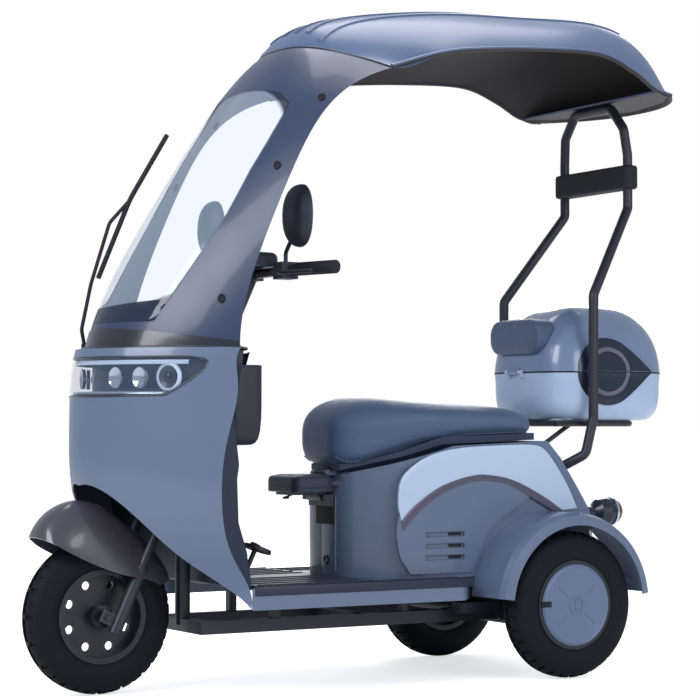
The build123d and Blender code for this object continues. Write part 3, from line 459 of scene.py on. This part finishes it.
def pipe(name, points, radius_mm, closed=False):
    """Round cord or trim along a smooth line through points in mm."""
    if len(points) < 5:
        points = smooth_line(points, 9)
    deselect()
    bpy.ops.curve.primitive_nurbs_path_add()
    piece = named(name)
    spline = piece.data.splines[0]
    spline.points.add(len(points) - len(spline.points))
    for point, place in zip(spline.points, points):
        point.co = (*[c * MM for c in place], 1)
    spline.order_u = 3
    spline.use_endpoint_u = not closed
    spline.use_cyclic_u = closed
    piece.data.bevel_depth = radius_mm * MM
    piece.data.bevel_resolution = 3
    piece.data.resolution_u = 6
    piece.data.use_fill_caps = not closed
    bpy.ops.object.convert(target="MESH")
    return bpy.context.object


def ribbon(name, near, far, across=4):
    """Sheet ruled between two lines of points in mm."""
    deselect()
    along = len(near) - 1
    bpy.ops.mesh.primitive_grid_add(x_subdivisions=along, y_subdivisions=across, size=2)
    piece = named(name)
    for vertex in piece.data.vertices:
        step = round((vertex.co.x + 1) / 2 * along)
        share = (vertex.co.y + 1) / 2
        vertex.co = (Vector(near[step]) * (1 - share) + Vector(far[step]) * share) * MM
    return piece


def turned(name, section, centre, steps=96):
    """Solid of revolution about an X axle; the closed section is (x, radius) in mm."""
    deselect()
    bpy.ops.mesh.primitive_circle_add(vertices=len(section), fill_type="NOTHING")
    piece = named(name)
    for vertex, (x, radius) in zip(piece.data.vertices, section):
        vertex.co = ((centre[0] + x) * MM, centre[1] * MM, (centre[2] + radius) * MM)
    bpy.ops.object.mode_set(mode="EDIT")
    bpy.ops.mesh.select_all(action="SELECT")
    bpy.ops.mesh.spin(steps=steps, angle=2 * math.pi, center=[c * MM for c in centre], axis=(1, 0, 0))
    bpy.ops.object.mode_set(mode="OBJECT")
    outward(piece)
    return piece


def smooth_line(points, count):
    """Even points on a Catmull-Rom line through the given ones."""
    line = []
    for step in range(count):
        place = step / (count - 1) * (len(points) - 1)
        index = min(int(place), len(points) - 2)
        t = place - index
        a, b, c, d = (Vector(points[max(0, min(len(points) - 1, index + k))]) for k in (-1, 0, 1, 2))
        line.append(0.5 * (2 * b + (c - a) * t + (2 * a - 5 * b + 4 * c - d) * t * t
                           + (3 * b - a - 3 * c + d) * t ** 3))
    return line


def arch_line(foot, crown, half, squareness, count=41):
    """Line of the body shell from the right foot over the crown to the left foot."""
    line = []
    for step in range(count):
        share = -1 + 2 * step / (count - 1)
        height = 1 - abs(share) ** squareness
        line.append((share * half, foot[0] + (crown[0] - foot[0]) * height,
                     foot[1] + (crown[1] - foot[1]) * height))
    return line


def round_square(turn, squareness):
    """Reach of a rounded square's edge at an angle, as a share of half its width."""
    return (abs(math.cos(turn)) ** squareness + abs(math.sin(turn)) ** squareness) ** (-1 / squareness)


def mirrored(points):
    """The same line on the other side."""
    return [(-p[0], p[1], p[2]) for p in points]


def seat_on(piece, target, lift_mm, thick_mm):
    """Lays a sheet on the nearest outer face of a panel and gives it a thickness."""
    deselect()
    drop = piece.modifiers.new("drop", "SHRINKWRAP")
    drop.target = target
    drop.wrap_method = "NEAREST_SURFACEPOINT"
    drop.wrap_mode = "ABOVE_SURFACE"
    drop.offset = lift_mm * MM
    wall = piece.modifiers.new("wall", "SOLIDIFY")
    wall.thickness = thick_mm * MM
    wall.offset = 0
    return piece


def plate(name, near, far, thick_mm, round_mm, across=4):
    """Solid strip ruled between two lines, with its edges rounded."""
    piece = ribbon(name, near, far, across)
    wall = piece.modifiers.new("wall", "SOLIDIFY")
    wall.thickness = thick_mm * MM
    wall.offset = 0
    edge = piece.modifiers.new("edge", "BEVEL")
    edge.width = round_mm * MM
    edge.segments = 2
    return piece


def between(levels, value, column):
    """Value of a table's column, along its first column."""
    for low, high in zip(levels, levels[1:]):
        if low[0] <= value <= high[0]:
            share = (value - low[0]) / (high[0] - low[0])
            return low[column] * (1 - share) + high[column] * share
    return levels[0][column] if value < levels[0][0] else levels[-1][column]


# ---------------------------------------------------------------- tyres
tread_steps, tread_depth = 108, 4.5
shoulder_radius = 171


def tyre(name, centre):
    """Road tyre: round shoulders, a raised ring on each wall and a block tread."""
    half = [(0, wheel_radius), (8, wheel_radius), (14, 179.4), (21, 176), (28, shoulder_radius), (33, 165),
            (36, 159), (37.6, 150), (38.9, 143), (40, 138), (39.9, 130), (38.2, 121), (36, 114), (31, 107),
            (27, 104.4)]
    section = [(-x, r) for x, r in reversed(half[1:])] + half
    piece = turned(name, section, centre, tread_steps)
    bpy.ops.object.mode_set(mode="EDIT")
    bpy.ops.mesh.select_mode(type="FACE")
    bpy.ops.mesh.select_all(action="DESELECT")
    bpy.ops.object.mode_set(mode="OBJECT")
    for polygon in piece.data.polygons:
        middle = polygon.center
        across = abs(middle.x / MM - centre[0])
        radius = math.hypot(middle.y / MM - centre[1], middle.z / MM - centre[2])
        turn = math.degrees(math.atan2(middle.z / MM - centre[2], middle.y / MM - centre[1])) % 360
        segment = int(turn / (360 / tread_steps))
        side = 1 if middle.x / MM > centre[0] else 0
        slot_here = (segment + side) % 3 == 0 and 11 < across < 25
        middle_here = across < 5 and (segment % 6) < 5
        polygon.select = radius > shoulder_radius and (slot_here or middle_here)
    bpy.ops.object.mode_set(mode="EDIT")
    bpy.ops.mesh.extrude_region_move()
    bpy.ops.mesh.select_mode(type="VERT")
    bpy.ops.object.mode_set(mode="OBJECT")
    for vertex in piece.data.vertices:
        if vertex.select:
            arm = Vector((0, vertex.co.y - centre[1] * MM, vertex.co.z - centre[2] * MM))
            vertex.co -= arm.normalized() * tread_depth * MM
            vertex.co.x -= 0.03 * (vertex.co.x - centre[0] * MM)
    return piece


tyre_places = {
    "front": ((0, front_wheel_y, wheel_radius), "front_wheel"),
    "rear_left": ((rear_wheel_x, rear_wheel_y, wheel_radius), "rear_left_wheel"),
    "rear_right": ((-rear_wheel_x, rear_wheel_y, wheel_radius), "rear_right_wheel"),
}
for name, (centre, body) in tyre_places.items():
    piece = settle(tyre(f"{name}_road_tyre", centre), tyre_rubber, body, 30)
    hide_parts(f"{name}_tyre")


# ---------------------------------------------------------------- hub caps: boss, bars and rim
hub = (0, rear_wheel_y, wheel_radius)
face = rear_wheel_x + 41
for side, body in ((1, "rear_left_wheel"), (-1, "rear_right_wheel")):
    word = "left" if side > 0 else "right"
    ring = [(side * (face - 1), 24), (side * (face - 1), 17), (side * (face + 2.2), 18),
            (side * (face + 3), 20.5), (side * (face + 2.2), 23)]
    settle(turned(f"cap_boss_ring_{word}", ring, hub, 48), cap_alloy, body)
    rim_ring = [(side * (face - 5), 99), (side * (face - 5), 92), (side * (face - 0.6), 90),
                (side * (face + 0.6), 93), (side * (face - 1), 97.5)]
    settle(turned(f"cap_edge_ring_{word}", rim_ring, hub, 72), cap_alloy, body)
    bar = block(f"cap_boss_bar_{word}", (side * (face + 0.4), hub[1], hub[2]), (3, 9, 26), 1.3)
    settle(bar, cap_alloy, body)
    for turn in (40, 140, 220, 320):
        angle = math.radians(turn)
        near, far = ((side * face, hub[1] + reach * math.cos(angle), hub[2] + reach * math.sin(angle))
                     for reach in (34, 70))
        middle = [(a + b) / 2 for a, b in zip(near, far)]
        rib = pipe(f"cap_rib_{word}_{turn}", [near, middle, far], 1.5)
        settle(rib, cap_alloy, body)
    notch = block(f"valve_notch_{word}", (side * (face - 2), hub[1] - 88, hub[2] + 5), (5.5, 26, 16), 2.4)
    settle(notch, black_rubber, body)
    stem = pipe(f"valve_stem_{word}", [(side * (face + out), hub[1] - back, hub[2] + 5)
                                       for out, back in ((-4, 84), (1, 90), (3, 98))], 3)
    settle(stem, black_rubber, body)


# ---------------------------------------------------------------- windscreen surround and roof trims
glass_seam = arch_line((-88, 1467), (-236, 1538), 304.5, 2.5)
settle(pipe("roof_seam_gasket", glass_seam, 2.4), sill_paint, "chassis")
belt_line = arch_line((-492, 799.5), (-731, 799.5), 302, 2.0)
settle(pipe("belt_seam_gasket", belt_line, 3.2), sill_paint, "chassis")

roof_edge = [(304, -88, 1467), (308, 40, 1508), (310, 150, 1528), (310.5, 335, 1545), (310.5, 520, 1550),
             (308, 630, 1515), (302, 700, 1478), (290, 765, 1466)]
roof_edge_line = smooth_line(roof_edge, 40)
for word, line in (("left", roof_edge_line), ("right", mirrored(roof_edge_line))):
    inset = [(p[0] - math.copysign(4.2, p[0]), p[1], p[2] + 3) for p in line]
    settle(pipe(f"roof_edge_bead_{word}", inset, 6.2), roof_skin, "chassis")


# ---------------------------------------------------------------- padded seats
slack_mm, rest_cap_mm, swell_frames = 4, 0.5, 20


def stuffed(name, source, finish, body, voxel_mm, cap_mm, rest_below):
    """Foam pad under a cover: the CAD pad blown up by cloth pressure, held within a cap.

    Faces that look down below the height rest_below stay flat, as the pad rests on them.
    """
    deselect()
    piece = bpy.data.objects.new(name, nodes[source].data.copy())
    piece.data.name = name
    scene.collection.objects.link(piece)
    outward(piece)
    even = piece.modifiers.new("even", "REMESH")
    even.mode = "VOXEL"
    even.voxel_size = voxel_mm * MM
    bpy.ops.object.modifier_apply(modifier="even")
    start = [vertex.co.copy() for vertex in piece.data.vertices]
    resting = [vertex.normal.z < -0.5 and vertex.co.z < rest_below * MM for vertex in piece.data.vertices]
    # The pad swells again, so it starts from a smaller shape.
    for vertex, normal in zip(piece.data.vertices, [v.normal.copy() for v in piece.data.vertices]):
        vertex.co -= normal * slack_mm * MM
    cover = piece.modifiers.new("cover", "CLOTH")
    cover.settings.use_pressure = True
    cover.settings.uniform_pressure_force = 4
    cover.settings.effector_weights.gravity = 0
    for step in range(1, swell_frames + 1):
        scene.frame_set(step)
    bpy.ops.object.modifier_apply(modifier="cover")
    scene.frame_set(1)
    for vertex, place, rests in zip(piece.data.vertices, start, resting):
        move = vertex.co - place
        cap = rest_cap_mm * MM if rests else cap_mm * MM
        if move.length > cap:
            vertex.co = place + move.normalized() * cap
    soften = piece.modifiers.new("soften", "SMOOTH")
    soften.iterations = 4
    finer = piece.modifiers.new("finer", "SUBSURF")
    finer.levels = 1
    finer.render_levels = 1
    settle(piece, finish, body, 60)
    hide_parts(source)
    return piece


stuffed("saddle_padding", "seat_cushion", saddle_cover, "saddle", voxel_mm=6, cap_mm=3, rest_below=600)
stuffed("child_seat_padding", "child_pad", pad_cover, "child_seat", voxel_mm=4, cap_mm=2, rest_below=462)
stuffed("box_back_padding", "back_pad", back_cover, "box_top", voxel_mm=4, cap_mm=2, rest_below=0)
# Piping is sewn round the saddle where the cover turns under. Rows: y, half width, lowest and highest z.
piping_up, saddle_squareness = 12, 3.2
saddle_rows = [(-112, 92, 532, 652), (-70, 124, 520, 678), (40, 148, 548, 684), (180, 166, 581, 674),
               (320, 170, 590, 668), (405, 160, 592, 656)]
for side, word in ((1, "left"), (-1, "right")):
    seam = []
    for y, half, low, high in saddle_rows:
        reach = 1 - 2 * piping_up / (high - low)
        out = half * (1 - reach ** saddle_squareness) ** (1 / saddle_squareness) + 0.8
        seam.append((side * out, y, low + piping_up))
    settle(pipe(f"saddle_piping_{word}", smooth_line(seam, 30), 1.8), saddle_cover, "saddle")
pad_seam = []
for turn in range(0, 360, 10):
    angle = math.radians(turn)
    reach = round_square(angle, 5)
    pad_seam.append((79.4 * reach * math.cos(angle), -168 + 57.4 * reach * math.sin(angle), 470))
settle(pipe("child_pad_piping", pad_seam, 1.6, True), pad_cover, "child_seat")


# ---------------------------------------------------------------- sweep and stripe on the sides
# Lines of (y, z); the sweep lies between its top and the stripe, and the stripe between its own two lines.
sweep_top = [(-10, 404), (-15, 436), (-7, 489), (32, 526), (88, 551), (170, 566), (300, 572), (380, 572),
             (416, 560), (452, 520), (490, 464), (516, 412)]
stripe_top = [(-8, 392), (32, 429), (109, 474), (200, 498), (262, 497), (326, 483), (407, 446), (470, 408)]
stripe_low = [(-2, 368), (51, 418), (118, 458), (200, 483), (260, 483), (316, 471), (390, 433), (440, 407)]


def on_side(line, x):
    """Smooth line through points of (y, z), on the upright plane at x."""
    return [(x, point[0], point[1]) for point in smooth_line(line, 56)]


for side, word in ((1, "left"), (-1, "right")):
    sweep = plate(f"side_sweep_{word}", on_side(sweep_top, side * 208.8), on_side(stripe_top, side * 208.8),
                  7.2, 1.2, 6)
    outward(sweep)
    settle(sweep, sweep_paint, "chassis")
    stripe = plate(f"side_stripe_{word}", on_side(stripe_top, side * 212), on_side(stripe_low, side * 212),
                   2, 0.6, 2)
    settle(stripe, stripe_vinyl, "chassis")
    # A dark block of painted shade shows the shaded slot at the rear end of each louvre, under a lip that
    # stands out of the panel.
    for row in (300, 328, 356):
        slot = block(f"louvre_shade_block_{word}_{row}", (side * 206.8, 150, row + 0.5), (3, 36, 7), 1)
        settle(slot, recess_shade_plastic, "chassis")
        lip_line = [(side * 210.6, y, row + 7.4) for y in (62, 85, 118, 150, 174)]
        lip = pipe(f"louvre_lip_{word}_{row}", lip_line, 2)
        settle(lip, body_paint, "chassis")


# ---------------------------------------------------------------- pockets and the cowl's display
def tub(name, centre, half, floor_z, top_z):
    """Open moulded pocket with a rounded foot; its plan is a rounded rectangle."""
    profile = [(0.0, 0), (0.35, 0), (0.62, 1), (0.78, 6), (0.88, 16), (0.95, 34), (0.99, 62), (1.0, 96),
               (1.0, top_z - floor_z)]
    deselect()
    bpy.ops.mesh.primitive_grid_add(x_subdivisions=64, y_subdivisions=len(profile) - 1, size=2)
    piece = named(name)
    for vertex in piece.data.vertices:
        turn = (vertex.co.x + 1) * math.pi
        share, rise = profile[round((vertex.co.y + 1) / 2 * (len(profile) - 1))]
        reach = share * round_square(turn, 5)
        vertex.co = Vector((centre[0] + half[0] * reach * math.cos(turn),
                            centre[1] + half[1] * reach * math.sin(turn), floor_z + rise)) * MM
    outward(piece)
    wall = piece.modifiers.new("wall", "SOLIDIFY")
    wall.thickness = 4 * MM
    wall.offset = -1
    return piece


pocket_x, pocket_y = 172, -440
for side, word in ((1, "left"), (-1, "right")):
    pocket = tub(f"storage_pocket_{word}", (side * pocket_x, pocket_y), (69.5, 45.5), 575, 756.5)
    settle(pocket, dark_plastic, "chassis")
    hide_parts("storage_pockets")
    rim = []
    for step in range(48):
        turn = 2 * math.pi * step / 48
        reach = round_square(turn, 5)
        rim.append((side * pocket_x + 68 * reach * math.cos(turn),
                    pocket_y + 44 * reach * math.sin(turn), 757))
    settle(pipe(f"storage_pocket_rim_{word}", rim, 3, True), lip_plastic, "chassis")

cowl_low, cowl_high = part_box("instrument_cowl")
cowl_y = (cowl_low[1] + cowl_high[1]) / 2 / MM
display = block("cowl_display", (0, cowl_y, cowl_high[2] / MM - 0.2), (128, 54, 3), 1.2)
settle(display, lens_glass, "steering")
for row, x in enumerate((-82, 82)):
    lamp = turned(f"cowl_telltale_{row}", [(-3, 1), (-3, 7), (1, 6), (2, 1)], origin, 24)
    lamp.rotation_euler = (0, math.radians(-90), 0)
    lamp.location = (x * MM, cowl_y * MM, cowl_high[2] - 0.2 * MM)
    settle(lamp, halo_plastic, "steering")


# ---------------------------------------------------------------- front of the seat base
# The dark plate in the seat base's front recess, under the child seat, is painted shade.
recess = block("base_recess_shade", (16, -106.6, 412), (84, 4, 66), 1.6)
settle(recess, recess_shade_plastic, "chassis")
for x in (-28, 60):
    edge = pipe(f"base_recess_edge_{'right' if x < 0 else 'left'}",
                [(x, -106.6 + 0.08 * abs(x), z) for z in (266, 300, 340, 380, 420, 446)], 2.6)
    settle(edge, body_paint, "chassis")
lock = turned("seat_lock_barrel", [(-5, 3), (-5, 12), (3, 12), (5, 9.5), (4, 3)], origin, 32)
lock.rotation_euler = (0, 0, math.radians(-90))
lock.location = (26 * MM, -107 * MM, 292 * MM)
settle(lock, lamp_plastic, "chassis")
lever_line = [(14, -200, 452), (16, -214, 447), (20, -226, 445), (30, -229, 445), (42, -223, 446)]
lever = pipe("child_seat_lever", lever_line, 2.6)
settle(lever, black_steel, "child_seat")


# ---------------------------------------------------------------- brake pedal: leaf-shaped rubber pad
leaf_line = [(-44, 0), (-34, 12), (-14, 20), (10, 21), (30, 14), (42, 0)]
pedal_x, pedal_y, pedal_z = 120, -352, 334
leaf_up, leaf_down = (smooth_line([(pedal_x + side * y, pedal_y - 0.34 * x, pedal_z + x * 0.28)
                                   for x, y in leaf_line], 24) for side in (1, -1))
pad = plate("brake_pedal_pad", leaf_up, leaf_down, 5, 1.6)
settle(pad, black_rubber, "chassis")


# ---------------------------------------------------------------- floor: rubber edge, ribs on the mat
for side, word in ((1, "left"), (-1, "right")):
    lip = block(f"floor_edge_rubber_{word}", (side * 277.4, -141, 243), (5, 600, 22), 2.2)
    settle(lip, mat_rubber, "chassis")
    for row, x in enumerate((60, 110, 160, 210)):
        rib_line = [(side * x, y, mat_top_z) for y in (-420, -350, -280, -210, -128)]
        rib = pipe(f"mat_rib_{word}_{row}", rib_line, 2.6)
        settle(rib, mat_rubber, "chassis")
    for row, x in enumerate((222, 246)):
        rib = pipe(f"step_rib_{word}_{row}", [(side * x, y, 250.6) for y in (-100, -40, 20, 80, 150)], 2.4)
        settle(rib, mat_rubber, "chassis")
    border_line = [(side * 262, y, mat_top_z) for y in (-424, -350, -280, -210, -120)]
    border = pipe(f"mat_border_{word}", border_line, 2.6)
    settle(border, mat_rubber, "chassis")


# ---------------------------------------------------------------- shield: dark lip along the leg opening
# Edge of the shield at the leg opening, as height, y and x.
shield_rim = [(234, -450, 278), (262, -462, 280), (320, -500, 286), (400, -530, 294), (500, -537, 300),
              (610, -520, 304), (720, -500, 305), (797, -492, 304)]
lip_width = 46
heights = [254 + 386 * step / 47 for step in range(48)]
for side, word in ((1, "left"), (-1, "right")):
    front, back = [], []
    for z in heights:
        narrow_above = max(0, min(1, (660 - z) / 130))
        narrow_below = max(0.18, min(1, (z - 236) / 90))
        depth = lip_width * narrow_above * narrow_below + 3
        rim_y, rim_x = between(shield_rim, z, 1), between(shield_rim, z, 2)
        front.append((side * (rim_x - 7), rim_y - 4, z))
        back.append((side * (rim_x - 7 - 0.32 * depth), rim_y + depth, z))
    lip = plate(f"leg_shield_lip_{word}", front, back, 4, 1.2)
    settle(lip, lip_plastic, "chassis")


# ---------------------------------------------------------------- black sill under the windscreen
def screen_point(share, rise):
    """Point just ahead of the screen: share runs from side to side, and a rise of 1 is 220 mm up it."""
    level = 1 - share * share
    foot = (-492 + 52 * rise, belt_z + 222 * rise)
    crown = (-722 + 94 * rise, belt_z + 212 * rise)
    return (share * 307, foot[0] + (crown[0] - foot[0]) * level - 12, foot[1] + (crown[1] - foot[1]) * level)


shares = [-1 + 2 * step / 60 for step in range(61)]
sill = ribbon("windscreen_sill", [screen_point(share, 0.02) for share in shares],
              [screen_point(share, 0.06 + 0.17 * (1 - share * share)) for share in shares], 6)
settle(seat_on(sill, nodes["windscreen_frame"], 1.2, 1.6), sill_paint, "chassis")
# A dark sheet of painted shade is laid over the foot of the screen, where the dashboard would show through.
shares = [-0.9 + 1.72 * step / 60 for step in range(61)]
film = ribbon("windscreen_interior_shade", [screen_point(share, 0.20) for share in shares],
              [screen_point(share, 0.47 + 0.10 * max(0, share)) for share in shares], 8)
settle(seat_on(film, nodes["windscreen_glass"], 1.0, 0.6), interior_shade_film, "chassis")
film.visible_shadow = False
# Screw recesses stand in a row down each pillar; their matt black is painted shade.
pillar_screws = [(287, -278, 1400), (284, -398, 1230), (278, -532, 912)]
screw_cup = [(-6, 1), (-6, 11), (2.5, 11), (3.5, 9), (0.8, 6.5), (0.8, 1)]
for side, word in ((1, "left"), (-1, "right")):
    for row, spot in enumerate(pillar_screws):
        beside = Vector((side * spot[0], spot[1], spot[2])) * MM
        place = nodes["windscreen_frame"].closest_point_on_mesh(beside)[1]
        screw = turned(f"pillar_screw_{word}_{row}", screw_cup, origin, 24)
        screw.scale = (1, 0.8, 1)
        screw.rotation_euler = (beside - place).to_track_quat("X", "Z").to_euler()
        screw.location = place
        settle(screw, recess_shade_plastic, "chassis")


# ---------------------------------------------------------------- headlight: bezel, strips and ring lamps
def lamp_point(x, z, back_mm=0):
    """Point on the shield's front face, or so far behind it."""
    foot, crown = between(shield_foot, z, 1), between(shield_crown, z, 1)
    return (x, foot + (crown - foot) * (1 - (abs(x) / shield_half_width) ** 2) + back_mm, z)


lamp_half_edge = [(0, 777), (120, 777), (240, 777), (262, 772), (267, 766), (264, 750), (250, 729),
                  (232, 708), (212, 690), (106, 687)]
lamp_edge = lamp_half_edge + [(-x, z) for x, z in reversed(lamp_half_edge[1:])] + lamp_half_edge[:1]
bezel_line = []
for (x0, z0), (x1, z1) in zip(lamp_edge, lamp_edge[1:]):
    steps = 12 if x0 * x1 < 0 else 6
    bezel_line += [lamp_point(x0 + (x1 - x0) * k / steps, z0 + (z1 - z0) * k / steps, -0.4)
                   for k in range(steps)]
settle(pipe("headlight_bezel", bezel_line, 2.4, True), sill_paint, "chassis")
span = [-236 + 472 * step / 60 for step in range(61)]
guide = plate("headlight_light_guide", [lamp_point(x, 770, 9) for x in span],
              [lamp_point(x, 760, 9) for x in span], 3, 0.8)
settle(guide, halo_plastic, "chassis")
low_span = [-206 + 412 * step / 60 for step in range(61)]
low_edge = plate("headlight_lower_trim", [lamp_point(x, 693, 8) for x in low_span],
                 [lamp_point(x, 698, 12) for x in low_span], 2, 0.6)
settle(low_edge, bright_chrome, "chassis")
ring_lamp_x, shield_bulge = 206, 245
for side, word in ((1, "left"), (-1, "right")):
    spot = lamp_point(side * ring_lamp_x, 731, 15)
    # The ring lamps are turned outwards by part of the shield's own slope there.
    slope = math.degrees(math.atan2(2 * shield_bulge * ring_lamp_x / shield_half_width ** 2, 1)) * side
    turn = math.radians(-90 + slope * 0.62)
    parts = {
        "halo": ([(-6, 24), (-6, 33), (-1, 34), (3, 31.5), (3, 26.5), (-1, 24)], halo_plastic, "clear"),
        "bowl": ([(-5, 2), (-5, 24.5), (1.5, 25.5), (-2, 17), (-4, 2)], lamp_plastic, "dark_plastic"),
        "projector": ([(-4, 0.5), (-4, 15), (1, 14.6), (6, 10), (8.4, 5), (9, 0.5)], lens_glass, "clear"),
    }
    for kind, (section, finish, slot) in parts.items():
        ring = turned(f"headlight_{kind}_{word}", section, origin, 48)
        ring.rotation_euler = (0, 0, turn)
        ring.location = [c * MM for c in spot]
        settle(ring, finish, "chassis")
    for row, (x, outward_turn) in enumerate(((96, 14), (150, 22))):
        reflector = turned(f"headlight_reflector_{word}_{row}",
                           [(-8, 2), (-8, 27), (0, 28), (-3, 22), (-6, 10), (-7, 2)], origin, 40)
        reflector.rotation_euler = (0, 0, math.radians(-90 + side * outward_turn))
        reflector.scale = (1, 0.86, 0.86)
        reflector.location = [c * MM for c in lamp_point(side * x, 730, 26)]
        settle(reflector, bright_chrome, "chassis")


# ---------------------------------------------------------------- top box: round badge plates and seam
# Heights of the case, each with its plan's share of the full width and length.
box_levels = [(634.3, 0.80), (648.3, 0.91), (689.3, 0.98), (758, 1.0), (760, 1.0), (805, 0.97), (855, 0.88),
              (900, 0.70), (925, 0.50), (936, 0.30)]


def box_skin(y, z, lift_mm):
    """Point of the case's side wall at a height, so far out of it."""
    share = between(box_levels, z, 1)
    half, length = box_half_width * share, box_half_length * share
    reach = min(0.999, abs((y - box_middle_y) / length))
    return half * (1 - reach ** box_squareness) ** (1 / box_squareness) + lift_mm


badge_y, badge_radius, tip_angle = 643, 92, 52
# The plates are a little less high than long.
badge_squeeze = 0.96


def badge_reach(degrees):
    """Outer reach of the badge plate: round, drawn out to a tip at the rear."""
    turn = abs((degrees + 180) % 360 - 180)
    return badge_radius if turn > tip_angle else badge_radius / math.cos(math.radians(tip_angle - turn))


def badge_plate(name, inner, outer, lift, first, last, thick, finish, side, body):
    """Ring or plate on one half of the case's side, between two angles."""
    near, far = [], []
    for step in range(37):
        turn = first + (last - first) * step / 36
        reach = outer or badge_reach(turn)
        for line, radius in ((near, inner), (far, reach)):
            y = badge_y + radius * math.cos(math.radians(turn))
            z = box_split_z + radius * math.sin(math.radians(turn)) * badge_squeeze
            z = max(z, box_split_z + 1.5) if body == "box_top" else min(z, box_split_z - 3)
            line.append((side * box_skin(y, z, lift + 6), y, z))
    case = nodes["box_lid" if body == "box_top" else "box_base"]
    settle(seat_on(ribbon(name, near, far, 8), case, lift, thick), finish, body)


for side, word in ((1, "left"), (-1, "right")):
    for half, first, last, body in (("upper", 0, 180, "box_top"), ("lower", 180, 360, "chassis")):
        badge_plate(f"box_badge_{half}_{word}", 3, None, 1.2, first, last, 2, lamp_plastic, side, body)
        badge_plate(f"box_ring_{half}_{word}", 55, 66, 2.6, first, last, 2.4, ring_plastic, side, body)
seam_line = []
for step in range(72):
    turn = math.radians(step * 5)
    reach = round_square(turn, box_squareness)
    seam_line.append(((box_half_width + 0.2) * reach * math.cos(turn),
                      box_middle_y + (box_half_length + 0.2) * reach * math.sin(turn), box_split_z - 2.4))
settle(pipe("box_seam_gasket", seam_line, 1.5, True), black_rubber, "chassis")


# ---------------------------------------------------------------- tail lamps and buffer
for side, word in ((1, "left"), (-1, "right")):
    lens = turned(f"tail_lens_{word}", [(-4, 1), (-4, 30), (3, 29), (9, 24), (13, 14), (14, 1)], origin, 40)
    lens.rotation_euler = (0, 0, math.radians(90))
    lens.location = (side * tail_lamp_x * MM, 660 * MM, tail_lamp_z * MM)
    settle(lens, red_lens, "chassis")
    collar = turned(f"tail_lamp_collar_{word}", [(-3, 30), (-3, 36.4), (3, 36), (3, 31)], origin, 40)
    collar.rotation_euler = (0, 0, math.radians(90))
    collar.location = (side * tail_lamp_x * MM, 648 * MM, tail_lamp_z * MM)
    settle(collar, bright_chrome, "chassis")
stop = block("tail_buffer", (150, 548, 430), (26, 26, 34), 5)
settle(stop, black_rubber, "chassis")
